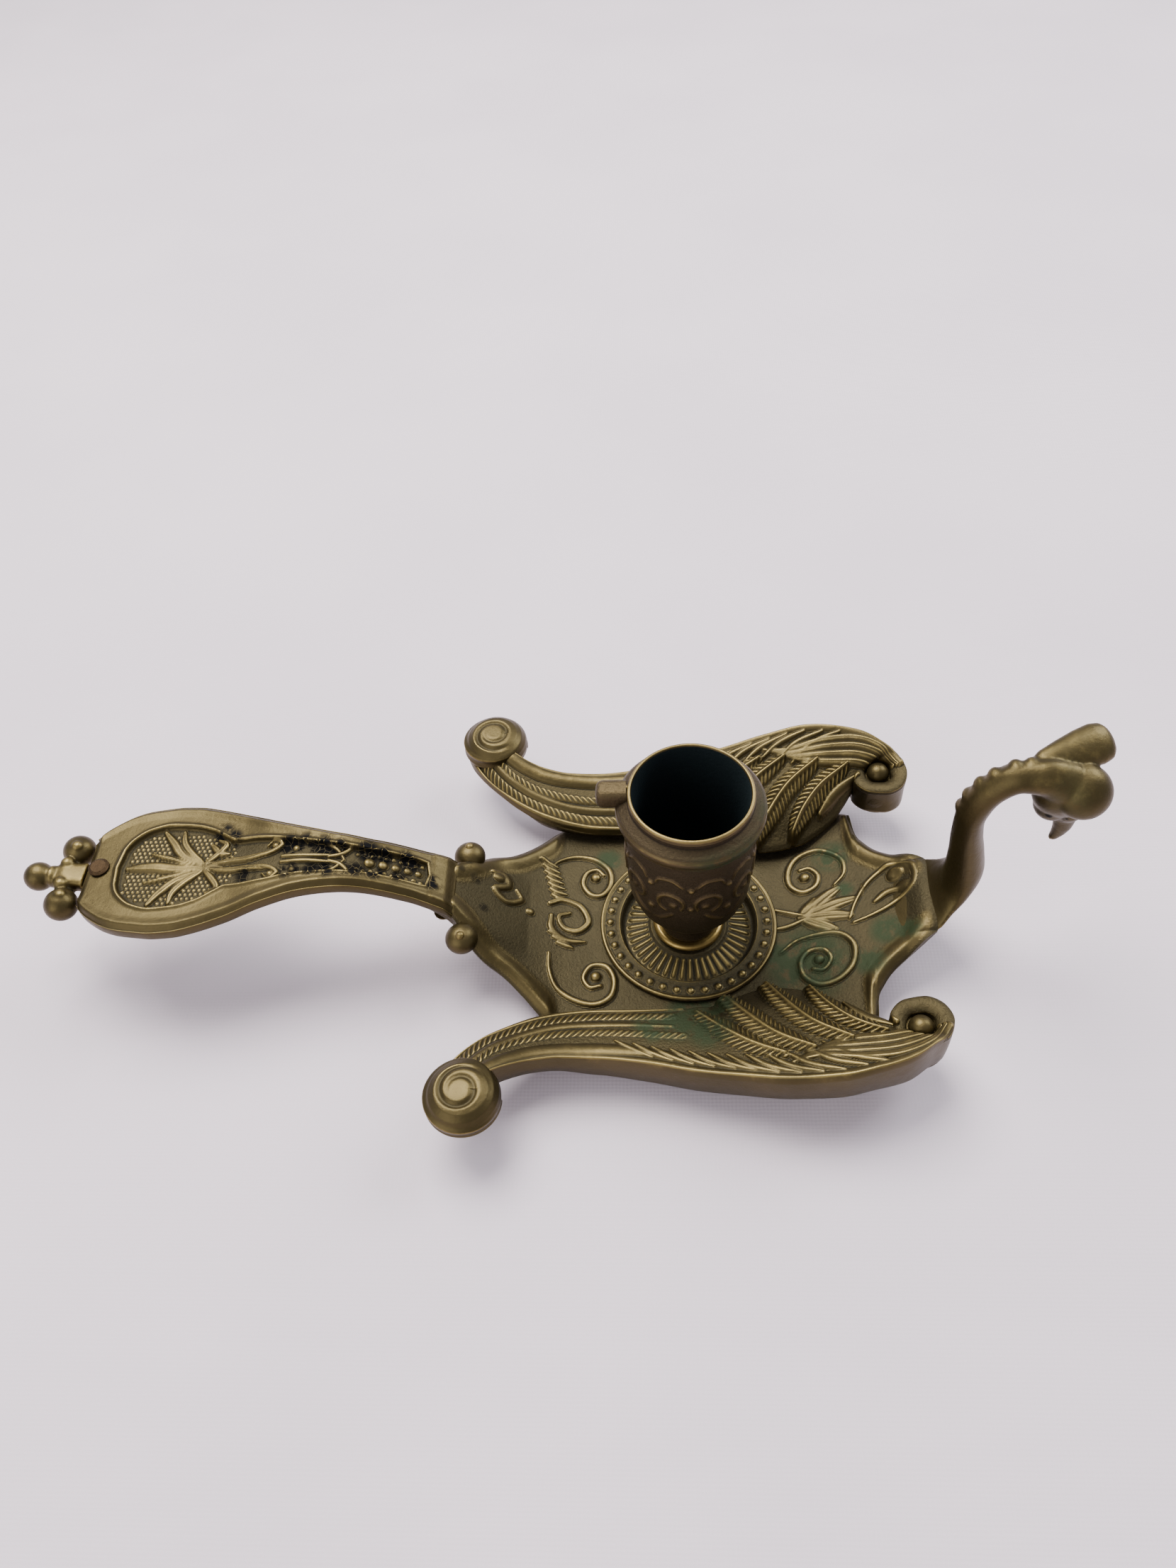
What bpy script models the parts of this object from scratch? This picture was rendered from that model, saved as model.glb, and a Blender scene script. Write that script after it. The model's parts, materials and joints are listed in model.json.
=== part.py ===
"""Brass chamberstick in the shape of a winged griffin.

A dished tray carries a fluted drip dish with a screwed-on candle cup. A griffin's
neck rises from its front end, a leaf-shaped handle from its back end, and a wing
lies along each side. Lengths in this file are millimetres; they become metres when
a mesh is made. +X runs towards the griffin's head, +Z is up, and the origin is on
the table, below the axis of the candle cup.
"""

import math

import bmesh
import bpy
from mathutils import Matrix, Vector

MM = 0.001
GAP = 0.3
TURNED_SIDES = 40

# Drip dish, its foot ring and the candle cup, all turned about the Z axis.
WELL_RADIUS = 14.0
WELL_WALL = 1.4
FLANGE_RADIUS = 18.6
FLANGE_TOP = 4.6
FLANGE_BOTTOM = 3.7
HUB_RADIUS = 7.9
HUB_TOP = 4.1
STUD_RADIUS = 3.0
STUD_BOTTOM = 1.0
STUD_TOP = 11.5
COLLAR_RADIUS = 7.5
COLLAR_TOP = 5.8
CUP_HEIGHT = 48.5
CUP_BORE = 11.0
CUP_FLOOR = 19.5
LUG_REACH = 17.6
LUG_SIDE = 4.4
LUG_MIDDLE = 1.7
LUG_LOW = 43.6
LUG_HIGH = 48.2

# Tray: (x, half-width) and (x, height of the sunk ground).
TRAY_THICK = 1.8
TRAY_RIM_WIDTH = 3.0
TRAY_RIM_RISE = 1.0
TRAY_BACK = -53.0
TRAY_FRONT = 48.8
TRAY_WIDTHS = (
    (-53.0, 4.6), (-50.0, 5.6), (-48.0, 6.6), (-46.0, 8.6), (-44.0, 11.0),
    (-42.0, 12.7), (-38.0, 14.9), (-34.0, 18.3), (-31.0, 21.4), (-29.0, 23.6),
    (-26.0, 26.0), (-20.0, 27.0), (0.0, 27.0), (26.0, 27.0), (33.0, 26.6),
    (36.0, 25.4), (36.7, 20.0), (38.0, 17.6), (40.0, 15.0), (43.0, 12.6),
    (46.0, 10.6), (48.8, 8.8),
)
TRAY_GROUND = (
    (-53.0, 19.3), (-50.0, 17.6), (-47.5, 15.7), (-46.0, 14.5), (-42.0, 11.4),
    (-38.0, 8.9), (-34.0, 6.7), (-30.0, 5.0), (-26.0, 3.9), (-20.0, 3.4),
    (0.0, 3.3), (20.0, 3.4), (25.0, 4.4), (30.0, 6.0), (36.0, 8.1),
    (40.0, 9.6), (43.0, 11.0), (46.0, 12.9), (48.8, 15.0),
)
CURL_CENTRE = (-46.2, 10.8, 15.2)
CURL_RADIUS = 3.0

# Handle: (x, half-width) and (x, height of its raised rim).
HANDLE_THICK = 3.4
HANDLE_RIM = 2.6
HANDLE_SINK = 1.1
HANDLE_TIP = -122.0
HANDLE_ROOT = -47.5
HANDLE_WIDTHS = (
    (-122.0, 8.0), (-120.0, 10.2), (-118.0, 11.7), (-115.0, 13.4), (-112.0, 14.4),
    (-108.0, 15.0), (-105.0, 15.3), (-101.0, 15.1), (-98.0, 14.5), (-91.0, 12.4),
    (-84.0, 9.8), (-77.0, 7.7), (-70.0, 6.4), (-63.0, 5.8), (-56.0, 5.8),
    (-50.0, 6.2), (-47.5, 6.4),
)
HANDLE_TOP = (
    (-122.0, 26.2), (-118.0, 26.6), (-112.0, 27.0), (-105.0, 27.2), (-98.0, 27.5),
    (-91.0, 28.2), (-84.0, 29.5), (-77.0, 30.1), (-70.0, 29.6), (-63.0, 27.8),
    (-56.0, 24.8), (-53.0, 23.1), (-50.0, 21.3), (-47.5, 19.4),
)

# Finial: a stem with one end knob, two side balls and two small beads.
KNOB_CENTRE = (-132.6, 0.0, 24.0)
KNOB_RADIUS = 3.0
SIDE_BALL = (-126.2, 6.6, 23.5)
SIDE_BALL_RADIUS = 3.3
SMALL_BEAD = (-127.2, 2.6, 24.6)
SMALL_BEAD_RADIUS = 1.4

# Wing, left side: inner edge, outer edge and the height of the outer wall's foot.
WING_STATIONS = (
    ((-49.6, 41.5, 11.4), (-43.9, 43.5, 15.6), 10.2),
    ((-48.0, 37.8, 11.4), (-41.3, 41.8, 15.5), 10.0),
    ((-45.2, 34.0, 11.3), (-38.2, 39.2, 14.8), 9.4),
    ((-41.4, 30.4, 10.8), (-34.8, 37.3, 13.6), 8.6),
    ((-36.6, 27.0, 9.4), (-30.5, 35.9, 12.5), 8.0),
    ((-29.0, 23.4, 7.9), (-25.0, 35.1, 11.8), 7.0),
    ((-20.0, 22.0, 7.0), (-18.0, 35.2, 11.4), 5.4),
    ((-10.0, 21.8, 6.8), (-9.0, 36.3, 11.7), 4.8),
    ((0.0, 21.3, 7.0), (0.0, 38.4, 12.6), 5.5),
    ((8.0, 18.8, 7.6), (9.0, 40.2, 14.3), 7.1),
    ((16.0, 16.6, 8.0), (18.0, 41.9, 16.6), 9.3),
    ((24.0, 17.8, 8.6), (26.0, 42.4, 19.0), 11.0),
    ((30.5, 21.5, 9.6), (33.0, 41.2, 20.1), 11.8),
    ((34.5, 25.3, 11.6), (39.0, 39.2, 20.3), 11.0),
    ((37.5, 27.8, 14.0), (43.5, 36.0, 19.6), 10.4),
    ((39.5, 28.6, 15.5), (47.3, 31.5, 18.0), 9.5),
)
WING_CROWN = 0.9
FEATHER_THICK = 2.2
SNAIL_CENTRE = (-42.9, 43.2)
SNAIL_PROFILE = (
    (4.6, 9.75), (6.2, 10.33), (7.0, 11.72), (7.1, 13.14), (6.6, 14.43), (5.1, 15.55),
    (3.4, 16.33), (3.0, 16.54), (3.0, 17.13),
)
SCROLL_CENTRE = (42.0, 30.3)
SCROLL_RADIUS = 5.9
SCROLL_LOW = 7.5
SCROLL_HIGH = 16.2
SCROLL_EYE_RADIUS = 3.1

# Neck: spine point (x, z), half-thickness along the bend, half-width across it.
NECK_STATIONS = (
    ((49.1, 14.2), 1.6, 8.6),
    ((51.0, 16.4), 2.2, 7.0),
    ((52.8, 19.3), 3.2, 5.6),
    ((53.6, 23.5), 3.8, 4.6),
    ((53.0, 29.0), 3.4, 4.0),
    ((52.1, 34.5), 3.0, 3.6),
    ((51.7, 39.5), 2.8, 3.4),
    ((52.5, 44.3), 2.9, 3.3),
    ((54.8, 48.4), 3.2, 3.3),
    ((58.4, 50.9), 3.6, 3.6),
    ((62.4, 51.0), 4.4, 4.2),
    ((66.0, 49.2), 5.2, 4.8),
)
SKULL_CENTRE = (67.4, 0.0, 47.2)
SKULL_RADII = (6.2, 5.6, 6.6)
MUZZLE_CENTRE = (67.0, 0.0, 42.4)
MUZZLE_RADII = (3.8, 4.0, 4.0)
BEAK_PATH = (
    ((68.2, 42.0), 3.2),
    ((69.6, 38.6), 2.6),
    ((69.6, 35.6), 1.8),
    ((68.4, 32.6), 0.7),
)
EARS = (
    ((62.6, 2.8, 52.4), (75.6, 7.8, 53.2), 3.6, 1.8),
    ((63.4, -3.2, 51.2), (72.6, -5.4, 47.0), 4.3, 2.2),
)

# Fixings: peened rivets under the tray and the handle, and a dowel in the neck.
RIVET_RADIUS = 1.2
RIVET_HEAD_RADIUS = 2.1
RIVET_HEAD_HEIGHT = 0.8
WING_RIVETS = ((-17.0, 24.6), (21.0, 24.6))
WING_RIVET_REACH = 2.2
HANDLE_RIVET_X = -50.3
HANDLE_RIVET_Y = 2.8
DOWEL_RADIUS = 0.55
DOWEL_HALF = 3.4
FINIAL_RIVET_X = -119.0
FINIAL_TONGUE = 1.4

AGED_BRASS = ((0.22, 0.16, 0.07, 1.0), 0.42, 1.0)
BROWN_BRASS = ((0.15, 0.10, 0.06, 1.0), 0.45, 1.0)
BRIGHT_BRASS = ((0.50, 0.36, 0.12, 1.0), 0.28, 1.0)
COPPER = ((0.42, 0.20, 0.12, 1.0), 0.40, 1.0)


def clear_scene():
    for thing in list(bpy.data.objects):
        bpy.data.objects.remove(thing, do_unlink=True)


def brass(name, look):
    color, roughness, metallic = look
    material = bpy.data.materials.new(name)
    material.use_nodes = True
    shader = material.node_tree.nodes["Principled BSDF"]
    shader.inputs["Base Color"].default_value = color
    shader.inputs["Roughness"].default_value = roughness
    shader.inputs["Metallic"].default_value = metallic
    return material


def at(table, x):
    """The value at x of a smooth curve through the table's (x, value) points."""
    if x <= table[0][0]:
        return table[0][1]
    if x >= table[-1][0]:
        return table[-1][1]
    i = max(k for k in range(len(table) - 1) if table[k][0] <= x)
    (x0, y0), (x1, y1) = table[i], table[i + 1]
    rise = (y1 - y0) / (x1 - x0)

    def slope(k):
        if k == 0 or k == len(table) - 1:
            return rise
        (xa, ya), (xb, yb), (xc, yc) = table[k - 1], table[k], table[k + 1]
        before, after = (yb - ya) / (xb - xa), (yc - yb) / (xc - xb)
        return 0.0 if before * after <= 0 else 2 * before * after / (before + after)

    span, t = x1 - x0, (x - x0) / (x1 - x0)
    a, b = slope(i) * span, slope(i + 1) * span
    return (
        y0 * (1 + 2 * t) * (1 - t) ** 2 + y1 * t * t * (3 - 2 * t)
        + a * t * (1 - t) ** 2 - b * t * t * (1 - t)
    )


def steps(first, last, count):
    return [first + (last - first) * k / (count - 1) for k in range(count)]


def new_object(name, mesh_data, material=None):
    mesh = bpy.data.meshes.new(name)
    mesh_data.to_mesh(mesh)
    mesh_data.free()
    thing = bpy.data.objects.new(name, mesh)
    bpy.context.scene.collection.objects.link(thing)
    if material:
        mesh.materials.append(material)
        mesh.shade_smooth()
        mesh.set_sharp_from_angle(angle=math.radians(35))
    return thing


def loft(name, rings, material=None, closed=False):
    """A solid skinned over rings of points in millimetres, capped at both ends unless closed."""
    body = bmesh.new()
    rows = [[body.verts.new(Vector(p) * MM) for p in ring] for ring in rings]
    pairs = list(zip(rows, rows[1:]))
    if closed:
        pairs.append((rows[-1], rows[0]))
    for a, b in pairs:
        for k in range(len(a)):
            n = (k + 1) % len(a)
            body.faces.new((a[k], a[n], b[n], b[k]))
    if not closed:
        body.faces.new(list(reversed(rows[0])))
        body.faces.new(rows[-1])
    bmesh.ops.recalc_face_normals(body, faces=body.faces)
    return new_object(name, body, material)


def turned(name, profile, material=None, centre=(0.0, 0.0), sides=TURNED_SIDES):
    """A ring turned about a vertical axis; profile is a closed loop of (radius, z)."""
    turns = steps(0.0, 2 * math.pi, sides + 1)[:-1]
    rings = [
        [(centre[0] + r * math.cos(t), centre[1] + r * math.sin(t), z) for r, z in profile]
        for t in turns
    ]
    return loft(name, rings, material, closed=True)


def plug(name, profile, material=None, centre=(0.0, 0.0), sides=TURNED_SIDES):
    """A solid turned about a vertical axis; profile is an open line of (radius, z)."""
    turns = steps(0.0, 2 * math.pi, sides + 1)[:-1]
    rings = [
        [(centre[0] + r * math.cos(t), centre[1] + r * math.sin(t), z) for t in turns]
        for r, z in profile
    ]
    return loft(name, rings, material)


def ball(name, centre, radii, material=None, sides=20, rows=12):
    body = bmesh.new()
    bmesh.ops.create_uvsphere(body, u_segments=sides, v_segments=rows, radius=MM)
    place = Matrix.Translation(Vector(centre) * MM) @ Matrix.Diagonal((*radii, 1.0))
    bmesh.ops.transform(body, matrix=place, verts=body.verts)
    return new_object(name, body, material)


def tube(name, path, sides=12):
    """A round solid along a path of ((x, y, z), radius) in millimetres."""
    points = [Vector(p) for p, _ in path]
    rings = []
    for k, (_, radius) in enumerate(path):
        ahead = points[min(k + 1, len(path) - 1)] - points[max(k - 1, 0)]
        turn = ahead.to_track_quat("Z", "Y")
        ring = [
            points[k] + turn @ Vector((radius * math.cos(t), radius * math.sin(t), 0.0))
            for t in steps(0.0, 2 * math.pi, sides + 1)[:-1]
        ]
        rings.append(ring)
    return loft(name, rings)


def combine(target, other, operation, solver):
    """A Boolean left on the target; the other shape is hidden and serves only as its operand."""
    cut = target.modifiers.new(other.name, "BOOLEAN")
    cut.operation = operation
    cut.object = other
    cut.solver = solver
    other.hide_render = True
    other.display_type = "WIRE"


def add(target, other, solver="EXACT"):
    combine(target, other, "UNION", solver)


def cut(target, other, solver="EXACT"):
    combine(target, other, "DIFFERENCE", solver)


def peg(name, centre, radius, low, high, sides=20):
    return plug(name, ((radius, low), (radius, high)), None, centre, sides)


def mirrored(point, side):
    return (point[0], side * point[1], point[2])


def revolved(name, profile, material):
    """A solid turned about the Z axis; profile is an open line of (radius, z) that starts at
    the top of the axis and ends at its foot, where flat faces close it."""
    turns = steps(0.0, 2 * math.pi, TURNED_SIDES + 1)[:-1]
    rings = [[(r * math.cos(t), r * math.sin(t), z) for t in turns] for r, z in profile]
    return loft(name, rings, material)


def make_drip_dish(material):
    well_outside = WELL_RADIUS + WELL_WALL
    socket = STUD_RADIUS + GAP
    profile = (
        (socket, STUD_BOTTOM - GAP), (socket, HUB_TOP), (HUB_RADIUS, HUB_TOP),
        (HUB_RADIUS + 0.6, HUB_TOP - 0.7), (WELL_RADIUS - 0.5, 1.9), (WELL_RADIUS, 2.6),
        (WELL_RADIUS + 0.2, FLANGE_TOP - 0.3), (WELL_RADIUS + 0.6, FLANGE_TOP),
        (FLANGE_RADIUS - 0.4, FLANGE_TOP), (FLANGE_RADIUS, FLANGE_TOP - 0.4),
        (FLANGE_RADIUS, FLANGE_BOTTOM), (well_outside, FLANGE_BOTTOM), (well_outside, 0.0),
    )
    return revolved("drip_dish", profile, material)


def make_base_ring(material):
    inner = WELL_RADIUS + WELL_WALL + GAP
    outer = FLANGE_RADIUS - 0.4
    profile = ((inner, 1.3), (outer - 0.5, 1.3), (outer, 0.8), (outer - 0.3, 0.0), (inner, 0.0))
    return turned("base_ring", profile, material)


def make_foot_collar(material):
    bore = STUD_RADIUS + GAP
    low = HUB_TOP + GAP
    profile = (
        (bore, low), (bore, COLLAR_TOP), (COLLAR_RADIUS - 1.4, COLLAR_TOP),
        (COLLAR_RADIUS - 0.4, COLLAR_TOP - 0.4), (COLLAR_RADIUS, COLLAR_TOP - 0.8),
        (COLLAR_RADIUS - 0.2, low + 0.3), (COLLAR_RADIUS - 0.6, low),
    )
    return turned("foot_collar", profile, material)


def make_cup_stud(material):
    profile = (
        (STUD_RADIUS - 0.5, STUD_BOTTOM), (STUD_RADIUS, STUD_BOTTOM + 0.5),
        (STUD_RADIUS, STUD_TOP - 0.4), (STUD_RADIUS - 0.4, STUD_TOP),
    )
    return plug("cup_stud", profile, material, sides=24)


def make_candle_cup(material):
    base = COLLAR_TOP + GAP
    bore = STUD_RADIUS + GAP
    outside = (
        (11.9, CUP_HEIGHT - 0.5), (11.8, CUP_HEIGHT - 1.2), (11.7, CUP_HEIGHT - 2.0),
        (13.2, 45.6), (14.1, 44.6), (14.0, 43.4), (13.5, 42.2), (12.6, 41.2), (12.1, 40.2),
        (12.2, 38.0), (12.3, 30.0), (12.2, 24.0), (11.9, 20.5), (11.0, 17.6),
        (9.6, 15.0), (7.6, 12.9), (5.9, 12.0), (5.6, 9.0), (5.9, base),
    )
    socket = ((bore, base), (bore, STUD_TOP + GAP))
    inside = (
        (CUP_BORE - 2.0, CUP_FLOOR), (CUP_BORE - 1.0, CUP_FLOOR + 1.8),
        (CUP_BORE - 0.4, CUP_FLOOR + 5.0),
        (CUP_BORE, CUP_HEIGHT - 0.6), (CUP_BORE + 0.2, CUP_HEIGHT), (11.7, CUP_HEIGHT),
    )
    cup = revolved("candle_cup", inside + outside + socket, material)
    half = LUG_SIDE / 2
    near = CUP_BORE + 1.2
    lug = loft("lug_shape", [
        [(-x, LUG_MIDDLE - half, LUG_LOW + low), (-x, LUG_MIDDLE + half, LUG_LOW + low),
         (-x, LUG_MIDDLE + half, LUG_HIGH - low), (-x, LUG_MIDDLE - half, LUG_HIGH - low)]
        for x, low in ((near, 0.0), (LUG_REACH - 0.5, 0.0), (LUG_REACH, 0.5))
    ])
    add(cup, lug)
    return cup


def tray_section(x):
    half = at(TRAY_WIDTHS, x)
    ground = at(TRAY_GROUND, x)
    covered = -27.0 < x < 35.0 or x < HANDLE_ROOT + 1.0
    rise = 0.0 if covered else TRAY_RIM_RISE
    rim = min(TRAY_RIM_WIDTH, 0.4 * half)
    top = (
        (half, 0.35 * rise), (half - 0.25 * rim, rise), (half - 0.75 * rim, rise),
        (half - rim, 0.0), (0.45 * half, 0.0), (0.0, 0.0),
    )
    right = [(x, -y, ground + z) for y, z in top]
    left = [(x, y, ground + z) for y, z in reversed(top[:-1])]
    low = ground - TRAY_THICK
    under = [(x, y, low) for y in (half - 0.4, 0.4 * half, -0.4 * half, 0.4 - half)]
    return right + left + under


def make_tray(material):
    stations = sorted(
        set(steps(TRAY_BACK, -26.0, 19) + steps(-26.0, 34.0, 13)
            + steps(34.0, 38.0, 8) + steps(38.0, TRAY_FRONT, 8))
    )
    tray = loft("tray", [tray_section(x) for x in stations], material)
    for side in (1, -1):
        tag = "left" if side > 0 else "right"
        curl = ball(f"tray_curl_{tag}", mirrored(CURL_CENTRE, side), (CURL_RADIUS,) * 3, None, 16, 10)
        add(tray, curl)
        for k, (x, y) in enumerate(WING_RIVETS):
            hole = peg(f"tray_hole_{tag}_{k}", (x, side * y), RIVET_RADIUS + GAP, -1.0, 12.0)
            cut(tray, hole)
        hole = peg(f"tongue_hole_{tag}", (HANDLE_RIVET_X, side * HANDLE_RIVET_Y),
                   RIVET_RADIUS + GAP, 8.0, 24.0)
        cut(tray, hole)
    well = peg("tray_well_hole", (0.0, 0.0), WELL_RADIUS + WELL_WALL + GAP, -2.0, 12.0, 48)
    cut(tray, well)
    cut(tray, dowel_shape("tray_dowel_hole", GAP))
    return tray


def dowel_shape(name, slack):
    """The dowel runs along the slope where the tray's front end meets the neck."""
    middle = Vector((0.5 * (TRAY_FRONT + NECK_STATIONS[0][0][0]), 0.0, 0.0))
    middle.z = at(TRAY_GROUND, TRAY_FRONT) - 0.5 * TRAY_THICK
    along = Vector((0.8, 0.0, 0.6))
    reach = DOWEL_HALF + slack
    radius = DOWEL_RADIUS + slack * 0.5
    return tube(name, ((middle - along * reach, radius), (middle + along * reach, radius)))


def handle_section(x):
    half = at(HANDLE_WIDTHS, x)
    top = at(HANDLE_TOP, x)
    rim = min(HANDLE_RIM, 0.36 * half)
    sunk = HANDLE_TIP + 4.5 < x < HANDLE_ROOT - 5.0
    sink = HANDLE_SINK if sunk else 0.0
    over = (
        (half, -0.5), (half - 0.5, 0.0), (half - rim + 0.3, 0.0), (half - rim - 0.2, -sink),
        (0.3 * half, -sink),
    )
    right = [(x, -y, top + z) for y, z in over]
    left = [(x, y, top + z) for y, z in reversed(over)]
    low = top - HANDLE_THICK
    under = [(x, half, low + 0.5), (x, half - 0.6, low), (x, 0.6 - half, low), (x, -half, low + 0.5)]
    return right + left + under


def make_handle(material):
    stations = sorted(
        set(steps(HANDLE_TIP, -116.0, 6) + steps(-116.0, -98.0, 10) + steps(-98.0, -52.0, 17)
            + steps(-52.0, HANDLE_ROOT, 4))
    )
    handle = loft("handle", [handle_section(x) for x in stations], material)
    for side in (1, -1):
        top = at(HANDLE_TOP, HANDLE_RIVET_X)
        hole = peg(f"handle_hole_{side}", (HANDLE_RIVET_X, side * HANDLE_RIVET_Y),
                   RIVET_RADIUS + GAP, top - HANDLE_THICK - 3.0, top - 1.2)
        cut(handle, hole)
    tip = at(HANDLE_TOP, FINIAL_RIVET_X)
    cut(handle, peg("finial_rivet_hole", (FINIAL_RIVET_X, 0.0), RIVET_RADIUS + GAP,
                    tip - HANDLE_THICK - 2.0, tip + 2.0))
    return handle


def make_finial(material):
    low = at(HANDLE_TOP, FINIAL_RIVET_X) - HANDLE_THICK - GAP - FINIAL_TONGUE
    half = 2.6
    tongue = [
        [(x, -wide, z), (x, wide, z), (x, wide, z + high), (x, -wide, z + high)]
        for x, wide, z, high in (
            (FINIAL_RIVET_X + 3.0, half, low + 0.1, FINIAL_TONGUE - 0.1),
            (HANDLE_TIP - GAP, half, low - 0.1, FINIAL_TONGUE - 0.1),
            (HANDLE_TIP - 0.8, half + 0.4, low, 3.6),
            (-127.0, half, low + 0.2, 4.0),
            (KNOB_CENTRE[0] + 1.0, 1.8, low + 0.8, 2.6),
        )
    ]
    finial = loft("finial", tongue, material)
    knob = ball("finial_knob", KNOB_CENTRE, (KNOB_RADIUS,) * 3, None, 16, 10)
    add(finial, knob)
    for side in (1, -1):
        centre = mirrored(SIDE_BALL, side)
        add(finial, ball(f"finial_ball_{side}", centre, (SIDE_BALL_RADIUS,) * 3, None, 16, 9))
        arm = tube(f"finial_arm_{side}", (((-126.4, 0.0, 22.7), 1.7), (centre, 1.5)))
        add(finial, arm)
        bead = mirrored(SMALL_BEAD, side)
        add(finial, ball(f"finial_bead_{side}", bead, (SMALL_BEAD_RADIUS,) * 3, None, 12, 8))
    cut(finial, peg("finial_hole", (FINIAL_RIVET_X, 0.0), RIVET_RADIUS + GAP, 12.0, 24.0))
    return finial


def wing_section(station, side):
    inner, outer, foot = station
    inner, outer = Vector(inner), Vector(outer)
    crown = Vector((0.0, 0.0, WING_CROWN))
    low = max(inner.z - FEATHER_THICK, at(TRAY_GROUND, inner.x) + GAP + 0.1)
    under = Vector((inner.x, inner.y + 0.4, min(low, inner.z - 0.8)))
    wall = Vector((outer.x, outer.y, foot))
    ring = [
        under, inner, inner.lerp(outer, 0.33) + crown, inner.lerp(outer, 0.7) + crown,
        outer - (outer - inner).normalized() * 0.6 + crown * 0.3, outer - crown * 0.6, wall,
    ]
    return [mirrored(p, side) for p in ring]


def refined(stations, between):
    """Stations of a smooth curve through the given ones, with more of them in between."""
    keys = [list(a) + list(b) + [c] for a, b, c in stations]
    fine = []
    for s in steps(0.0, len(keys) - 1.0, (len(keys) - 1) * between + 1):
        row = [at(tuple(enumerate(k[j] for k in keys)), s) for j in range(7)]
        fine.append((tuple(row[:3]), tuple(row[3:6]), row[6]))
    return fine


def make_wing(name, side, material):
    rings = [wing_section(s, side) for s in refined(WING_STATIONS, 2)]
    wing = loft(name, rings, material)
    snail_centre = (SNAIL_CENTRE[0], side * SNAIL_CENTRE[1])
    add(wing, plug(f"{name}_snail", SNAIL_PROFILE, None, snail_centre, 28))
    centre = (SCROLL_CENTRE[0], side * SCROLL_CENTRE[1])
    drum = (
        (SCROLL_RADIUS - 1.6, SCROLL_LOW), (SCROLL_RADIUS - 0.3, SCROLL_LOW + 1.6),
        (SCROLL_RADIUS, SCROLL_HIGH - 3.0), (SCROLL_RADIUS - 0.6, SCROLL_HIGH - 0.8),
        (SCROLL_RADIUS - 1.6, SCROLL_HIGH),
    )
    add(wing, plug(f"{name}_scroll", drum, None, centre, 32))
    eye = (*centre, SCROLL_HIGH - 0.3)
    # The exact solver leaves the mirrored wing empty here.
    add(wing, ball(f"{name}_eye", eye, (SCROLL_EYE_RADIUS,) * 3, None, 20, 11), "MANIFOLD")
    for k, (x, y) in enumerate(WING_RIVETS):
        low = at(TRAY_GROUND, x) - 1.0
        hole = peg(f"{name}_hole_{k}", (x, side * y), RIVET_RADIUS + GAP, low,
                   at(TRAY_GROUND, x) + WING_RIVET_REACH + GAP)
        cut(wing, hole)
    return wing


def ellipse_ring(centre, along, half_thick, half_wide, sides=16):
    """A ring across a path in the XZ plane; along is the path's direction there."""
    normal = Vector((-along.z, 0.0, along.x)).normalized()
    return [
        centre + normal * (half_thick * math.sin(t)) + Vector((0.0, half_wide * math.cos(t), 0.0))
        for t in steps(0.0, 2 * math.pi, sides + 1)[:-1]
    ]


def make_neck(material):
    spots = [Vector((x, 0.0, z)) for (x, z), _, _ in NECK_STATIONS]
    rings = []
    for k, (_, thick, wide) in enumerate(NECK_STATIONS):
        along = spots[min(k + 1, len(spots) - 1)] - spots[max(k - 1, 0)]
        rings.append(ellipse_ring(spots[k], along, thick, wide))
    rings[0] = [Vector((TRAY_FRONT + GAP, p.y, p.z)) for p in rings[0]]
    neck = loft("griffin_neck", rings, material)
    add(neck, ball("skull_shape", SKULL_CENTRE, SKULL_RADII, None, 20, 14))
    add(neck, ball("muzzle_shape", MUZZLE_CENTRE, MUZZLE_RADII, None, 16, 10))
    beak = [((x, 0.0, z), r) for (x, z), r in BEAK_PATH]
    add(neck, tube("beak_shape", beak, 10))
    for k, (root, tip, wide, thick) in enumerate(EARS):
        root, tip = Vector(root), Vector(tip)
        lie = (tip - root).to_track_quat("X", "Z").to_matrix().to_4x4()
        shape = Matrix.Diagonal(((tip - root).length / 2 + 1.0, wide, thick, 1.0))
        ear = bmesh.new()
        bmesh.ops.create_uvsphere(ear, u_segments=16, v_segments=10, radius=MM)
        place = Matrix.Translation((root + tip) / 2 * MM) @ lie @ shape
        bmesh.ops.transform(ear, matrix=place, verts=ear.verts)
        add(neck, new_object(f"ear_shape_{k}", ear))
    cut(neck, dowel_shape("neck_dowel_hole", GAP))
    return neck


def make_rivet(name, centre, head_low, shank_top, material):
    """A peened rivet with its round head below."""
    profile = (
        (RIVET_HEAD_RADIUS - 0.6, head_low), (RIVET_HEAD_RADIUS, head_low + 0.4),
        (RIVET_HEAD_RADIUS, head_low + RIVET_HEAD_HEIGHT),
        (RIVET_RADIUS, head_low + RIVET_HEAD_HEIGHT), (RIVET_RADIUS, shank_top),
    )
    return plug(name, profile, material, centre, 16)


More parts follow.
